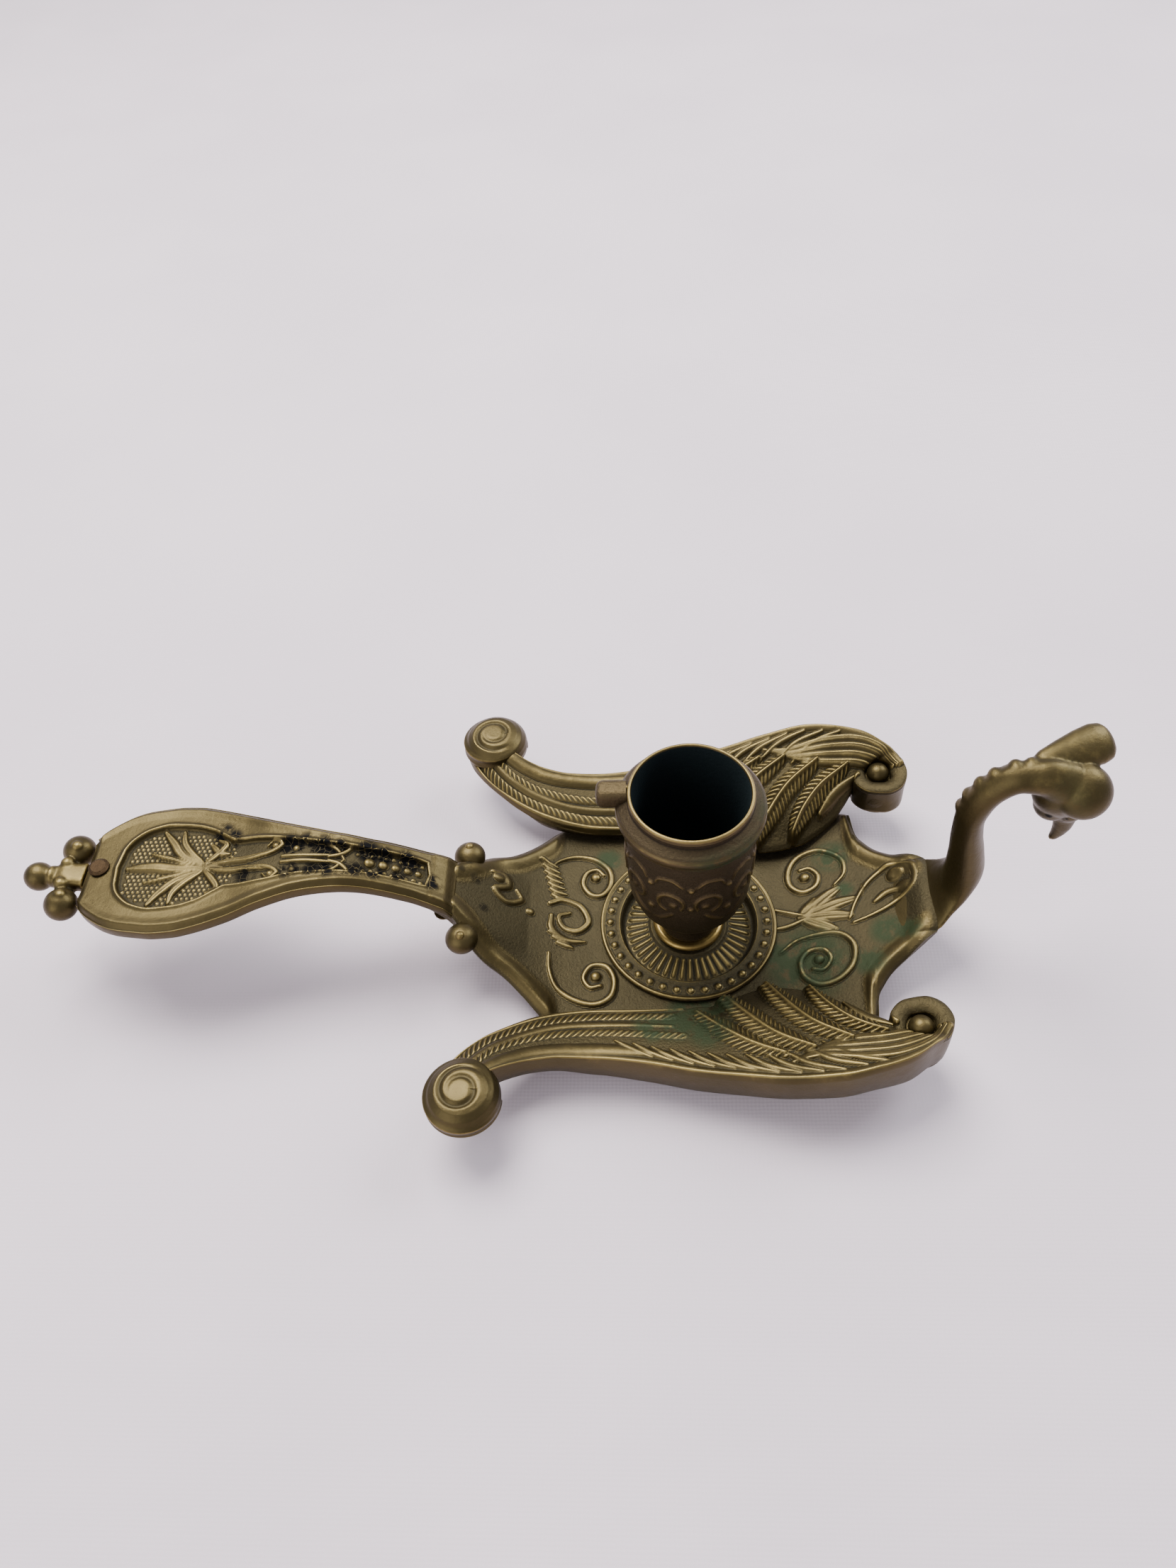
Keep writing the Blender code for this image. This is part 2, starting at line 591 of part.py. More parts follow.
def make_fixings(material, copper):
    for side in (1, -1):
        tag = "left" if side > 0 else "right"
        for place, (x, y) in zip(("back", "front"), WING_RIVETS):
            ground = at(TRAY_GROUND, x)
            low = min(at(TRAY_GROUND, x - 2.2), ground) - TRAY_THICK - 0.1 - RIVET_HEAD_HEIGHT
            make_rivet(f"wing_rivet_{tag}_{place}", (x, side * y), low,
                       ground + WING_RIVET_REACH, material)
        lowest = at(TRAY_GROUND, HANDLE_RIVET_X + RIVET_HEAD_RADIUS) - TRAY_THICK
        top = at(HANDLE_TOP, HANDLE_RIVET_X) - 1.2 - GAP
        make_rivet(f"handle_rivet_{tag}", (HANDLE_RIVET_X, side * HANDLE_RIVET_Y),
                   lowest - GAP - RIVET_HEAD_HEIGHT, top, material)
    dowel = dowel_shape("neck_dowel", 0.0)
    dowel.data.materials.append(material)
    top = at(HANDLE_TOP, FINIAL_RIVET_X)
    low = top - HANDLE_THICK - 2 * GAP - FINIAL_TONGUE
    profile = (
        (1.6, low - 0.9), (2.0, low - 0.5), (2.0, low - 0.1), (RIVET_RADIUS, low - 0.1),
        (RIVET_RADIUS, top + GAP), (2.1, top + GAP), (2.1, top + GAP + 0.3), (1.5, top + GAP + 0.7),
    )
    plug("finial_rivet", profile, copper, (FINIAL_RIVET_X, 0.0), 20)


def main():
    clear_scene()
    aged = brass("aged_brass", AGED_BRASS)
    brown = brass("brown_brass", BROWN_BRASS)
    bright = brass("bright_brass", BRIGHT_BRASS)
    copper = brass("copper", COPPER)
    make_drip_dish(aged)
    make_base_ring(aged)
    make_foot_collar(bright)
    make_cup_stud(bright)
    make_candle_cup(brown)
    make_tray(aged)
    make_handle(aged)
    make_finial(aged)
    make_wing("wing_left", 1, aged)
    make_wing("wing_right", -1, aged)
    make_neck(aged)
    make_fixings(bright, copper)


main()
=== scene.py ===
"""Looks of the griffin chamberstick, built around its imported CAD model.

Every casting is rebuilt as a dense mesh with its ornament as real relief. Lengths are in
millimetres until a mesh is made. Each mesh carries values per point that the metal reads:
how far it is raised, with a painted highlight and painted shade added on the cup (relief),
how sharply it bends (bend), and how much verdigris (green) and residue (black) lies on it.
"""

import json
import math

import bmesh
import bpy
import numpy as np
from mathutils import Euler, Matrix, Vector

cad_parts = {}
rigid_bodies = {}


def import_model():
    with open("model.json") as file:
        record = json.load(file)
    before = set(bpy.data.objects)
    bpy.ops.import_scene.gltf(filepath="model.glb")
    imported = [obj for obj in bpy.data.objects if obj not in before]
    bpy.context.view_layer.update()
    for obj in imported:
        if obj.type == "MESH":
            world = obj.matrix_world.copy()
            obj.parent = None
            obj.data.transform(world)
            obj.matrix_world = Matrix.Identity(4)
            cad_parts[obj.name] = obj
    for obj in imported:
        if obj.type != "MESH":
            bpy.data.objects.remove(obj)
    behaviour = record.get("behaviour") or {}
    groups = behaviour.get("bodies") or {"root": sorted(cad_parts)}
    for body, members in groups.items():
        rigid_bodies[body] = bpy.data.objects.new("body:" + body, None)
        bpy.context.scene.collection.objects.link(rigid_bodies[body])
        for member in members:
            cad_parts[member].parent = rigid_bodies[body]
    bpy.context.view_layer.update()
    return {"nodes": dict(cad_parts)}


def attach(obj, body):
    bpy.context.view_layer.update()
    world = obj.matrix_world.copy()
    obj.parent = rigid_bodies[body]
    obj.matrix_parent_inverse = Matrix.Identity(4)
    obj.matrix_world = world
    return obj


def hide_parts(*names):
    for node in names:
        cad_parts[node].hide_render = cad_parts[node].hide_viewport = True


MM = 0.001
FLOOR_DROP = 0.05
# The camera, and each lamp's name, place, size, power and colour, in metres and watts.
CAMERA_LENS = 27.032
CAMERA_SPOT = (-0.006571, -0.134746, 0.216296)
CAMERA_DEGREES = (39.1952, 3.1217, 1.3158)
LAMPS = (
    ("ceiling", (-0.25, 0.35, 0.9), 0.6, 24.0, (1.0, 0.98, 0.95)),
    ("window", (0.7, 0.5, 0.7), 0.5, 11.0, (0.93, 0.96, 1.0)),
    ("bounce", (-0.6, -0.7, 0.5), 0.8, 6.0, (1.0, 0.98, 0.96)),
)

# Each metal: the colours of its recesses, its body and its rubbed crests; on the cup the crest colour also
# makes a painted highlight, and the recess colour painted shade on its lug.
AGED = ((0.027, 0.0235, 0.0145), (0.069, 0.052, 0.0205), (0.175, 0.130, 0.046))
BROWN = ((0.030, 0.022, 0.0145), (0.080, 0.058, 0.027), (0.18, 0.132, 0.048))
BRIGHT = ((0.04, 0.026, 0.008), (0.16, 0.108, 0.032), (0.34, 0.24, 0.075))
COPPER = ((0.02, 0.012, 0.006), (0.085, 0.052, 0.024), (0.16, 0.10, 0.05))
SOOT = ((0.014, 0.020, 0.022), (0.030, 0.046, 0.050), (0.05, 0.07, 0.075))
VERDIGRIS = (0.019, 0.028, 0.008)
RESIDUE = (0.0035, 0.0035, 0.004)
CLOTH_LIGHT = (0.585, 0.51, 0.56)
CLOTH_DARK = (0.55, 0.48, 0.53)

# WIDTHS tables hold (x, half width), and GROUND and TOP tables hold (x, z).
TRAY_BACK = -53.0
TRAY_FRONT = 48.8
TRAY_THICK = 1.8
TRAY_GRID = (400, 240)
TRAY_ROOT_TOP = 18.3
TRAY_ROOT_SLOPE = 0.85
DISH_SEAT = 15.9
TRAY_WIDTHS = (
    (-53.0, 4.6), (-50.0, 5.6), (-48.0, 6.6), (-46.0, 8.6), (-44.0, 11.0),
    (-42.0, 12.7), (-38.0, 14.9), (-34.0, 18.3), (-31.0, 21.4), (-29.0, 23.6),
    (-26.0, 26.0), (-20.0, 27.0), (0.0, 27.0), (26.0, 27.0), (33.0, 26.6),
    (36.0, 25.4), (36.7, 20.0), (38.0, 17.6), (40.0, 15.0), (43.0, 12.6),
    (46.0, 10.6), (48.8, 8.8),
)
TRAY_GROUND = (
    (-53.0, 19.3), (-50.0, 17.6), (-47.5, 15.7), (-46.0, 14.5), (-42.0, 11.4),
    (-38.0, 8.9), (-34.0, 6.7), (-30.0, 5.0), (-26.0, 3.9), (-20.0, 3.4),
    (0.0, 3.3), (20.0, 3.4), (25.0, 4.4), (30.0, 6.0), (36.0, 8.1),
    (40.0, 9.6), (43.0, 11.0), (46.0, 12.9), (48.8, 15.0),
)
HANDLE_TIP = -122.0
HANDLE_ROOT = -47.5
HANDLE_THICK = 3.4
PANEL_BACK = -115.2
PANEL_FRONT = -52.2
HANDLE_WIDTHS = (
    (-122.0, 8.0), (-120.0, 10.2), (-118.0, 11.7), (-115.0, 13.4), (-112.0, 14.4),
    (-108.0, 15.0), (-105.0, 15.3), (-101.0, 15.1), (-98.0, 14.5), (-91.0, 12.4),
    (-84.0, 9.8), (-77.0, 7.7), (-70.0, 6.4), (-63.0, 5.8), (-56.0, 5.8),
    (-50.0, 6.2), (-47.5, 6.4),
)
HANDLE_TOP = (
    (-122.0, 26.2), (-118.0, 26.6), (-112.0, 27.0), (-105.0, 27.2), (-98.0, 27.5),
    (-91.0, 28.2), (-84.0, 29.5), (-77.0, 30.1), (-70.0, 29.6), (-63.0, 27.8),
    (-56.0, 24.8), (-53.0, 23.1), (-50.0, 21.3), (-47.5, 19.4),
)
PANEL_WIDTHS = (
    (-115.2, 0.2), (-114.6, 4.4), (-113.0, 7.0), (-110.0, 9.2), (-106.0, 10.2),
    (-101.0, 9.8), (-97.0, 8.6), (-93.5, 6.6), (-91.5, 5.6), (-89.0, 5.6), (-84.0, 5.2),
    (-78.0, 4.2), (-70.0, 3.4), (-62.0, 3.0), (-55.0, 3.0), (-52.6, 2.8), (-52.2, 0.1),
)
# The left wing from back to front: its inner edge, its outer edge, and the z of the outer wall's foot.
WING_STATIONS = (
    ((-49.6, 41.5, 11.4), (-43.9, 43.5, 15.6), 10.2),
    ((-48.0, 37.8, 11.4), (-41.3, 41.8, 15.5), 10.0),
    ((-45.2, 34.0, 11.3), (-38.2, 39.2, 14.8), 9.4),
    ((-41.4, 30.4, 10.8), (-34.8, 37.3, 13.6), 8.6),
    ((-36.6, 27.0, 9.4), (-30.5, 35.9, 12.5), 8.0),
    ((-29.0, 23.4, 7.9), (-25.0, 35.1, 11.8), 7.0),
    ((-20.0, 22.0, 7.0), (-18.0, 35.2, 11.4), 5.4),
    ((-10.0, 21.8, 6.8), (-9.0, 36.3, 11.7), 4.8),
    ((0.0, 21.3, 7.0), (0.0, 38.4, 12.6), 5.5),
    ((8.0, 18.8, 7.6), (9.0, 40.2, 14.3), 7.1),
    ((16.0, 16.6, 8.0), (18.0, 41.9, 16.6), 9.3),
    ((24.0, 17.8, 8.6), (26.0, 42.4, 19.0), 11.0),
    ((30.5, 21.5, 9.6), (33.0, 41.2, 20.1), 11.8),
    ((34.5, 25.3, 11.6), (39.0, 39.2, 20.3), 11.0),
    ((38.6, 30.8, 14.6), (43.5, 36.0, 19.6), 10.4),
    ((42.0, 33.1, 16.1), (46.6, 33.6, 18.4), 9.6),
    ((44.4, 31.6, 16.3), (48.0, 29.6, 17.6), 9.5),
    ((44.6, 29.2, 16.2), (46.8, 26.2, 16.9), 9.5),
    ((42.9, 27.8, 16.0), (43.4, 24.4, 16.5), 9.5),
    ((40.8, 28.0, 15.8), (39.4, 25.0, 16.2), 9.5),
    ((39.5, 29.5, 15.6), (36.6, 28.2, 16.0), 9.5),
    ((39.3, 31.3, 15.2), (37.2, 32.0, 15.5), 9.5),
)
OUTER_EDGE = slice(5, 13)
FEATHER_THICK = 2.2
SNAIL_CENTRE = (-42.9, 43.2)
SCROLL_CENTRE = (42.0, 30.3)
# ((x, z), half thickness, half width) from inside the tray up to the head.
NECK_STATIONS = (
    ((41.5, 9.4), 0.5, 9.4),
    ((45.4, 12.0), 1.1, 9.4),
    ((49.1, 14.2), 1.6, 8.6),
    ((51.0, 16.4), 2.2, 7.0),
    ((52.8, 19.3), 3.2, 5.6),
    ((53.6, 23.5), 3.8, 4.6),
    ((53.0, 29.0), 3.4, 4.0),
    ((52.1, 34.5), 3.0, 3.6),
    ((51.7, 39.5), 2.8, 3.4),
    ((52.5, 44.3), 2.9, 3.3),
    ((54.8, 48.4), 2.8, 3.1),
    ((58.4, 50.9), 2.9, 3.2),
    ((62.4, 51.0), 3.6, 3.8),
    ((66.0, 49.2), 4.8, 4.6),
)
NECK_ON_TRAY = 2
HUB_RADIUS = 8.4
BEAD_CIRCLE = 16.5
BEAD_RADIUS = 0.82
BEAD_COUNT = 36
FLUTE_COUNT = 44
CUP_RADIUS = 12.3
CUP_MOTIFS = 5


def around(count):
    """Evenly spaced angles of a whole turn."""
    return np.linspace(0, 2 * math.pi, count, endpoint=False)


def sheet(x, y, z):
    """Points from coordinates that broadcast together."""
    return np.stack(np.broadcast_arrays(x, y, z), -1)


def smooth(low, high, x):
    """0 at low and beyond it, 1 at high and beyond it, and a smooth step between them."""
    t = np.clip((x - low) / (high - low), 0.0, 1.0)
    return t * t * (3 - 2 * t)


def curve(table, x):
    """Values at x of a smooth curve through the table's (x, value) points."""
    xs = np.array([p[0] for p in table])
    ys = np.array([p[1] for p in table])
    step = np.diff(xs)
    rise = np.diff(ys) / step
    slope = np.concatenate([rise[:1], rise[:-1] + rise[1:], rise[-1:]])
    product = rise[:-1] * rise[1:]
    total = np.where(np.abs(slope[1:-1]) < 1e-12, 1.0, slope[1:-1])
    slope[1:-1] = np.where(product <= 0, 0.0, 2 * product / total)
    x = np.clip(x, xs[0], xs[-1])
    i = np.clip(np.searchsorted(xs, x, side="right") - 1, 0, len(xs) - 2)
    t = (x - xs[i]) / step[i]
    return (
        ys[i] * (1 + 2 * t) * (1 - t) ** 2 + ys[i + 1] * t * t * (3 - 2 * t)
        + slope[i] * step[i] * t * (1 - t) ** 2 - slope[i + 1] * step[i] * t * t * (1 - t)
    )


def spline(points, each=7):
    """A smooth path through the points."""
    p = [np.array(q, float) for q in points]
    if len(p) == 2:
        return np.array([p[0] + (p[1] - p[0]) * t for t in np.linspace(0, 1, each)])
    p = [2 * p[0] - p[1]] + p + [2 * p[-1] - p[-2]]
    path = []
    for a, b, c, d in zip(p, p[1:], p[2:], p[3:]):
        for t in np.linspace(0, 1, each, endpoint=False):
            path.append(0.5 * (2 * b + (c - a) * t + (2 * a - 5 * b + 4 * c - d) * t * t
                               + (3 * b - a - 3 * c + d) * t ** 3))
    return np.array(path + [p[-2]])


def nearest(x, y, path):
    """Signed distance from each point to a path, the length along it, and its whole length."""
    best = np.full(x.shape, 1e9)
    along = np.zeros(x.shape)
    side = np.ones(x.shape)
    run = 0.0
    for (ax, ay), (bx, by) in zip(path, path[1:]):
        dx, dy = bx - ax, by - ay
        length = math.hypot(dx, dy)
        if length < 1e-9:
            continue
        t = np.clip(((x - ax) * dx + (y - ay) * dy) / length ** 2, 0, 1)
        ox, oy = x - ax - t * dx, y - ay - t * dy
        distance = np.hypot(ox, oy)
        nearer = distance < best
        best = np.where(nearer, distance, best)
        along = np.where(nearer, run + t * length, along)
        side = np.where(nearer, np.where(dx * oy - dy * ox < 0, -1.0, 1.0), side)
        run += length
    return best * side, along, run


class Relief:
    """Raised ornament at the points (x, y), as heights in millimetres."""

    def __init__(self, x, y):
        self.x, self.y = x, y
        self.height = np.zeros_like(x)

    def near(self, path, reach):
        low, high = path.min(axis=0) - reach, path.max(axis=0) + reach
        return ((self.x > low[0]) & (self.x < high[0])
                & (self.y > low[1]) & (self.y < high[1]))

    def stroke(self, points, width, height, ends=(1.0, 1.0), groove=0.0):
        """A rounded ridge along the points; ends are its relative width at each end."""
        path = spline(points)
        spot = self.near(path, width)
        if not spot.any():
            return
        d, along, whole = nearest(self.x[spot], self.y[spot], path)
        u = along / whole
        size = ((ends[0] + (1 - ends[0]) * np.sin(0.5 * math.pi * np.clip(u / 0.45, 0, 1)))
                * (ends[1] + (1 - ends[1]) * np.sin(0.5 * math.pi * np.clip((1 - u) / 0.45, 0, 1))))
        r = np.abs(d) / (0.5 * width * size)
        h = height * (0.5 + 0.5 * size) * np.sqrt(np.clip(1 - r * r, 0, 1))
        if groove:
            h = h - groove * np.exp(-((r / 0.25) ** 2)) * (r < 1)
        self.height[spot] = np.maximum(self.height[spot], h)

    def dot(self, x, y, radius, height):
        r = np.hypot(self.x - x, self.y - y) / radius
        self.height = np.maximum(self.height, height * np.sqrt(np.clip(1 - r * r, 0, 1)))

    def feather(self, points, width, height, pitch=1.15):
        """A barbed feather: a shaft along the points with slanting barbs on both sides."""
        path = spline(points)
        spot = self.near(path, width)
        if not spot.any():
            return
        d, along, whole = nearest(self.x[spot], self.y[spot], path)
        u = along / whole
        half = 0.5 * width * np.sqrt(np.clip(np.sin(math.pi * (0.06 + 0.9 * u)), 0.02, 1))
        r = np.abs(d) / half
        body = height * np.sqrt(np.clip(1 - r ** 2.4, 0, 1))
        barbs = 0.5 + 0.5 * np.cos(2 * math.pi * (along + 0.8 * np.abs(d)) / pitch)
        body = body - 0.5 * height * (1 - barbs ** 0.7) * (r < 1) * smooth(0.14, 0.3, r)
        shaft = 0.35 * height * np.exp(-((d / 0.38) ** 2)) * (r < 1)
        self.height[spot] = np.maximum(self.height[spot], body + shaft)

    def rope(self, points, width, height, pitch):
        """A strand of slanting dashes."""
        path = spline(points)
        spot = self.near(path, width)
        if not spot.any():
            return
        d, along, _ = nearest(self.x[spot], self.y[spot], path)
        r = np.abs(d) / (0.5 * width)
        dash = 0.5 + 0.5 * np.cos(2 * math.pi * (along + 0.9 * d) / pitch)
        h = height * np.sqrt(np.clip(1 - r * r, 0, 1)) * (0.25 + 0.75 * dash ** 0.8)
        self.height[spot] = np.maximum(self.height[spot], h)


class Shape:
    """One mesh put together from grids of points in millimetres."""

    def __init__(self):
        self.points, self.quads, self.values, self.rings = [], [], [], []
        self.count = 0

    def grid(self, points, relief=0.0, green=0.0, black=0.0, across=False, keep=None, inside=None):
        """Adds a sheet of points, turned to face away from the point inside, or from its own middle."""
        n, m = points.shape[:2]
        index = np.arange(n * m).reshape(n, m) + self.count
        rim = index
        if across:
            index = np.concatenate([index, index[:, :1]], axis=1)
        quads = np.stack([index[:-1, :-1], index[1:, :-1], index[1:, 1:], index[:-1, 1:]], -1)
        quads = quads.reshape(-1, 4)
        self.middle = points.reshape(-1, 3).mean(axis=0) if inside is None else np.array(inside)
        a, b, c, d = np.moveaxis(points.reshape(-1, 3)[quads - self.count] - self.middle, 1, 0)
        if (a * (np.cross(b, c) + np.cross(c, d))).sum() < 0:
            quads = quads[:, ::-1]
        if keep is not None:
            quads = quads[keep.reshape(-1)]
        values = [np.broadcast_to(v, (n, m)).reshape(-1) for v in (relief, green, black)]
        self.points.append(points.reshape(-1, 3))
        self.values.append(np.stack(values, -1))
        self.quads.append(quads)
        self.count += n * m
        return rim

    def cap(self, ring):
        """Closes an end of the last sheet."""
        edge = self.points[-1][ring - self.count + len(self.points[-1])]
        out = np.cross(edge - edge.mean(axis=0), np.roll(edge, -1, axis=0) - edge.mean(axis=0)).sum(axis=0)
        if out @ (edge.mean(axis=0) - self.middle) < 0:
            ring = ring[::-1]
        self.rings.append(ring.tolist())

    def tube(self, points, relief=0.0, **values):
        """Adds a closed tube of rings of points, with both ends closed."""
        rim = self.grid(points, relief, across=True, **values)
        self.cap(rim[0])
        self.cap(rim[-1])

    def ball(self, centre, radius, relief=0.7, sides=40, rows=24, squash=1.0):
        b, a = np.meshgrid(np.linspace(0.02, math.pi - 0.02, rows), around(sides), indexing="ij")
        xyz = sheet(np.sin(b) * np.cos(a), np.sin(b) * np.sin(a), squash * np.cos(b))
        self.tube(np.array(centre) + radius * xyz, relief)

    def build(self, name, metal, body, slot, *nodes):
        points = np.concatenate(self.points) * MM
        faces = np.concatenate(self.quads).tolist() + self.rings
        mesh = bpy.data.meshes.new(name)
        mesh.from_pydata(points.tolist(), [], faces)
        store(mesh, np.concatenate(self.values).T)
        work = bmesh.new()
        work.from_mesh(mesh)
        loose = [v for v in work.verts if not v.link_faces]
        bmesh.ops.delete(work, geom=loose, context="VERTS")
        work.to_mesh(mesh)
        work.free()
        mesh.shade_smooth()
        return place(name, mesh, metal, body, slot, *nodes)


def bend_of(mesh):
    """How sharply each vertex bends outwards, per millimetre, averaged with its neighbours."""
    count = len(mesh.vertices)
    points, normals = np.empty(count * 3), np.empty(count * 3)
    mesh.vertices.foreach_get("co", points)
    mesh.vertex_normals.foreach_get("vector", normals)
    points, normals = points.reshape(-1, 3) / MM, normals.reshape(-1, 3)
    ends = np.empty(len(mesh.edges) * 2, np.int32)
    mesh.edges.foreach_get("vertices", ends)
    a, b = ends.reshape(-1, 2).T
    links = np.maximum(np.bincount(a, minlength=count) + np.bincount(b, minlength=count), 1)
    step = points[a] - points[b]
    far = np.maximum((step ** 2).sum(axis=1), 1e-3)
    bend = (np.bincount(a, 2 * (normals[a] * step).sum(axis=1) / far, count)
            - np.bincount(b, 2 * (normals[b] * step).sum(axis=1) / far, count)) / links
    bend = np.clip(bend, -3.0, 3.0)
    for _ in range(2):
        bend = 0.5 * bend + 0.5 * (np.bincount(a, bend[b], count) + np.bincount(b, bend[a], count)) / links
    return bend


def store(mesh, values, names=("relief", "green", "black")):
    """Writes one value per vertex under each name."""
    for name, value in zip(names, values):
        layer = mesh.attributes.new(name, "FLOAT", "POINT")
        layer.data.foreach_set("value", value.astype(np.float32))


def add_object(name, data):
    made = bpy.data.objects.new(name, data)
    bpy.context.scene.collection.objects.link(made)
    return made


def place(name, mesh, metal, body, slot, *nodes):
    """Adds a finished mesh as a piece that rides a body and stands for the CAD nodes."""
    store(mesh, [bend_of(mesh)], ("bend",))
    piece = add_object(name, mesh)
    mesh.materials.clear()
    mesh.materials.append(metal)
    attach(piece, body)
    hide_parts(*nodes)
    return piece


def resample(line, step):
    """Points along a polyline, no more than step apart, with its corners kept."""
    out = []
    for (ax, ay), (bx, by) in zip(line, line[1:]):
        count = max(1, int(math.ceil(math.hypot(bx - ax, by - ay) / step)))
        out += [(ax + (bx - ax) * k / count, ay + (by - ay) * k / count) for k in range(count)]
    return np.array(out + [line[-1]])


def node(tree, kind, **inputs):
    made = tree.nodes.new(kind)
    for key, value in inputs.items():
        setattr(made, key, value)
    return made


def put(made, values):
    """Sets a node's sockets by name."""
    for name, value in values.items():
        made.inputs[name].default_value = value


def math_node(tree, operation, a, b, clamp=False):
    made = node(tree, "ShaderNodeMath", operation=operation, use_clamp=clamp)
    for k, value in enumerate((a, b)):
        if isinstance(value, (int, float)):
            made.inputs[k].default_value = value
        else:
            tree.links.new(value, made.inputs[k])
    return made.outputs[0]


def plus(tree, a, b, clamp=False):
    return math_node(tree, "ADD", a, b, clamp)


def minus(tree, a, b, clamp=False):
    return math_node(tree, "SUBTRACT", a, b, clamp)


def times(tree, a, b, clamp=False):
    return math_node(tree, "MULTIPLY", a, b, clamp)


def ramp(tree, value, low, high):
    """A smooth step from 0 where the value is low to 1 where it is high."""
    made = node(tree, "ShaderNodeMapRange", interpolation_type="SMOOTHSTEP")
    tree.links.new(value, made.inputs["Value"])
    put(made, {"From Min": low, "From Max": high})
    return made.outputs[0]


def blend(tree, factor, a, b):
    made = node(tree, "ShaderNodeMix", data_type="RGBA")
    tree.links.new(factor, made.inputs["Factor"])
    for socket, value in (("A", a), ("B", b)):
        target = [s for s in made.inputs if s.name == socket and s.type == "RGBA"][0]
        if isinstance(value, tuple):
            target.default_value = (*value, 1.0)
        else:
            tree.links.new(value, target)
    return [s for s in made.outputs if s.type == "RGBA"][0]


def noise(tree, where, scale, detail, rough=0.55):
    made = node(tree, "ShaderNodeTexNoise")
    put(made, {"Scale": scale, "Detail": detail, "Roughness": rough})
    tree.links.new(where, made.inputs["Vector"])
    return made.outputs["Fac"]


def new_material(name):
    """(material, node tree, shader, object coordinates)"""
    material = bpy.data.materials.new(name)
    material.use_nodes = True
    tree = material.node_tree
    where = node(tree, "ShaderNodeTexCoord").outputs["Object"]
    return material, tree, tree.nodes["Principled BSDF"], where


def add_bump(tree, shader, height, strength, distance):
    bump = node(tree, "ShaderNodeBump")
    put(bump, {"Strength": strength, "Distance": distance})
    tree.links.new(height, bump.inputs["Height"])
    tree.links.new(bump.outputs["Normal"], shader.inputs["Normal"])


def brass(name, colours, shine, grain=0.17):
    """Old metal in the colours (recesses, body, crests); shine is its least roughness, grain its pitting."""
    low, body, worn = colours
    metal, tree, shader, where = new_material(name)
    raised, green, black, bend = (
        node(tree, "ShaderNodeAttribute", attribute_name=what).outputs["Fac"]
        for what in ("relief", "green", "black", "bend")
    )
    stains = noise(tree, where, 95.0, 5.0)
    mottle = noise(tree, where, 420.0, 6.0, 0.62)
    specks = noise(tree, where, 1900.0, 4.0, 0.65)
    edge = ramp(tree, bend, 0.2, 1.5)
    hollow = ramp(tree, bend, -0.15, -1.3)
    high = times(tree, ramp(tree, raised, 0.05, 0.9), 0.42)
    high = plus(tree, high, times(tree, edge, 0.75))
    high = plus(tree, high, times(tree, ramp(tree, mottle, 0.42, 0.75), 0.22))
    high = minus(tree, high, times(tree, ramp(tree, stains, 0.45, 0.7), 0.2), True)
    # Low relief values darken towards the recess colour: tarnish in the hollows, and painted shade on the
    # cup's lug.
    deep = plus(tree, times(tree, hollow, 0.75), times(tree, ramp(tree, raised, 0.14, 0.0), 0.6))
    deep = plus(tree, deep, times(tree, ramp(tree, specks, 0.6, 0.75), 0.25), True)
    colour = blend(tree, ramp(tree, stains, 0.3, 0.7), body, tuple(0.78 * c for c in body))
    colour = blend(tree, deep, colour, low)
    # The crest colour is rubbed wear, and on the cup's rim lip and flange edge it is a painted highlight.
    colour = blend(tree, ramp(tree, high, 0.25, 0.95), colour, worn)
    patch = times(tree, green, ramp(tree, mottle, 0.32, 0.54), True)
    colour = blend(tree, patch, colour, VERDIGRIS)
    crack = node(tree, "ShaderNodeTexVoronoi", feature="DISTANCE_TO_EDGE")
    put(crack, {"Scale": 620.0})
    tree.links.new(where, crack.inputs["Vector"])
    flakes = times(tree, ramp(tree, crack.outputs["Distance"], 0.012, 0.05),
                   ramp(tree, noise(tree, where, 260.0, 3.0), 0.36, 0.5))
    residue = times(tree, black, flakes, True)
    colour = blend(tree, residue, colour, RESIDUE)
    tree.links.new(colour, shader.inputs["Base Color"])
    dull = math_node(tree, "MAXIMUM", times(tree, patch, 0.5), residue)
    rough = plus(tree, shine, times(tree, deep, 0.22))
    rough = plus(tree, rough, times(tree, mottle, 0.14))
    rough = plus(tree, rough, times(tree, dull, 0.3), True)
    tree.links.new(rough, shader.inputs["Roughness"])
    tree.links.new(minus(tree, 0.92, times(tree, patch, 0.3)), shader.inputs["Metallic"])
    bumps = plus(tree, times(tree, mottle, 0.6), times(tree, specks, 0.35))
    bumps = plus(tree, bumps, times(tree, residue, 0.5))
    gritty = times(tree, ramp(tree, raised, 0.3, 0.05), specks)
    bumps = plus(tree, bumps, times(tree, gritty, 1.6))
    add_bump(tree, shader, bumps, 0.6, grain * MM)
    return metal


def spots(x, y, places):
    """How strongly each point lies in the given (x, y, radius) patches, from 0 to 1."""
    value = np.zeros_like(x)
    for cx, cy, radius in places:
        value = np.maximum(value, smooth(1.25, 0.45, np.hypot(x - cx, y - cy) / radius))
    return value


def volute(relief, eye, points, width=1.55, height=0.85):
    """A curling stem through the points, with a round eye where it ends."""
    relief.stroke(points, width, height, ends=(0.45, 0.7))
    relief.dot(eye[0], eye[1], 1.2, height * 1.3)


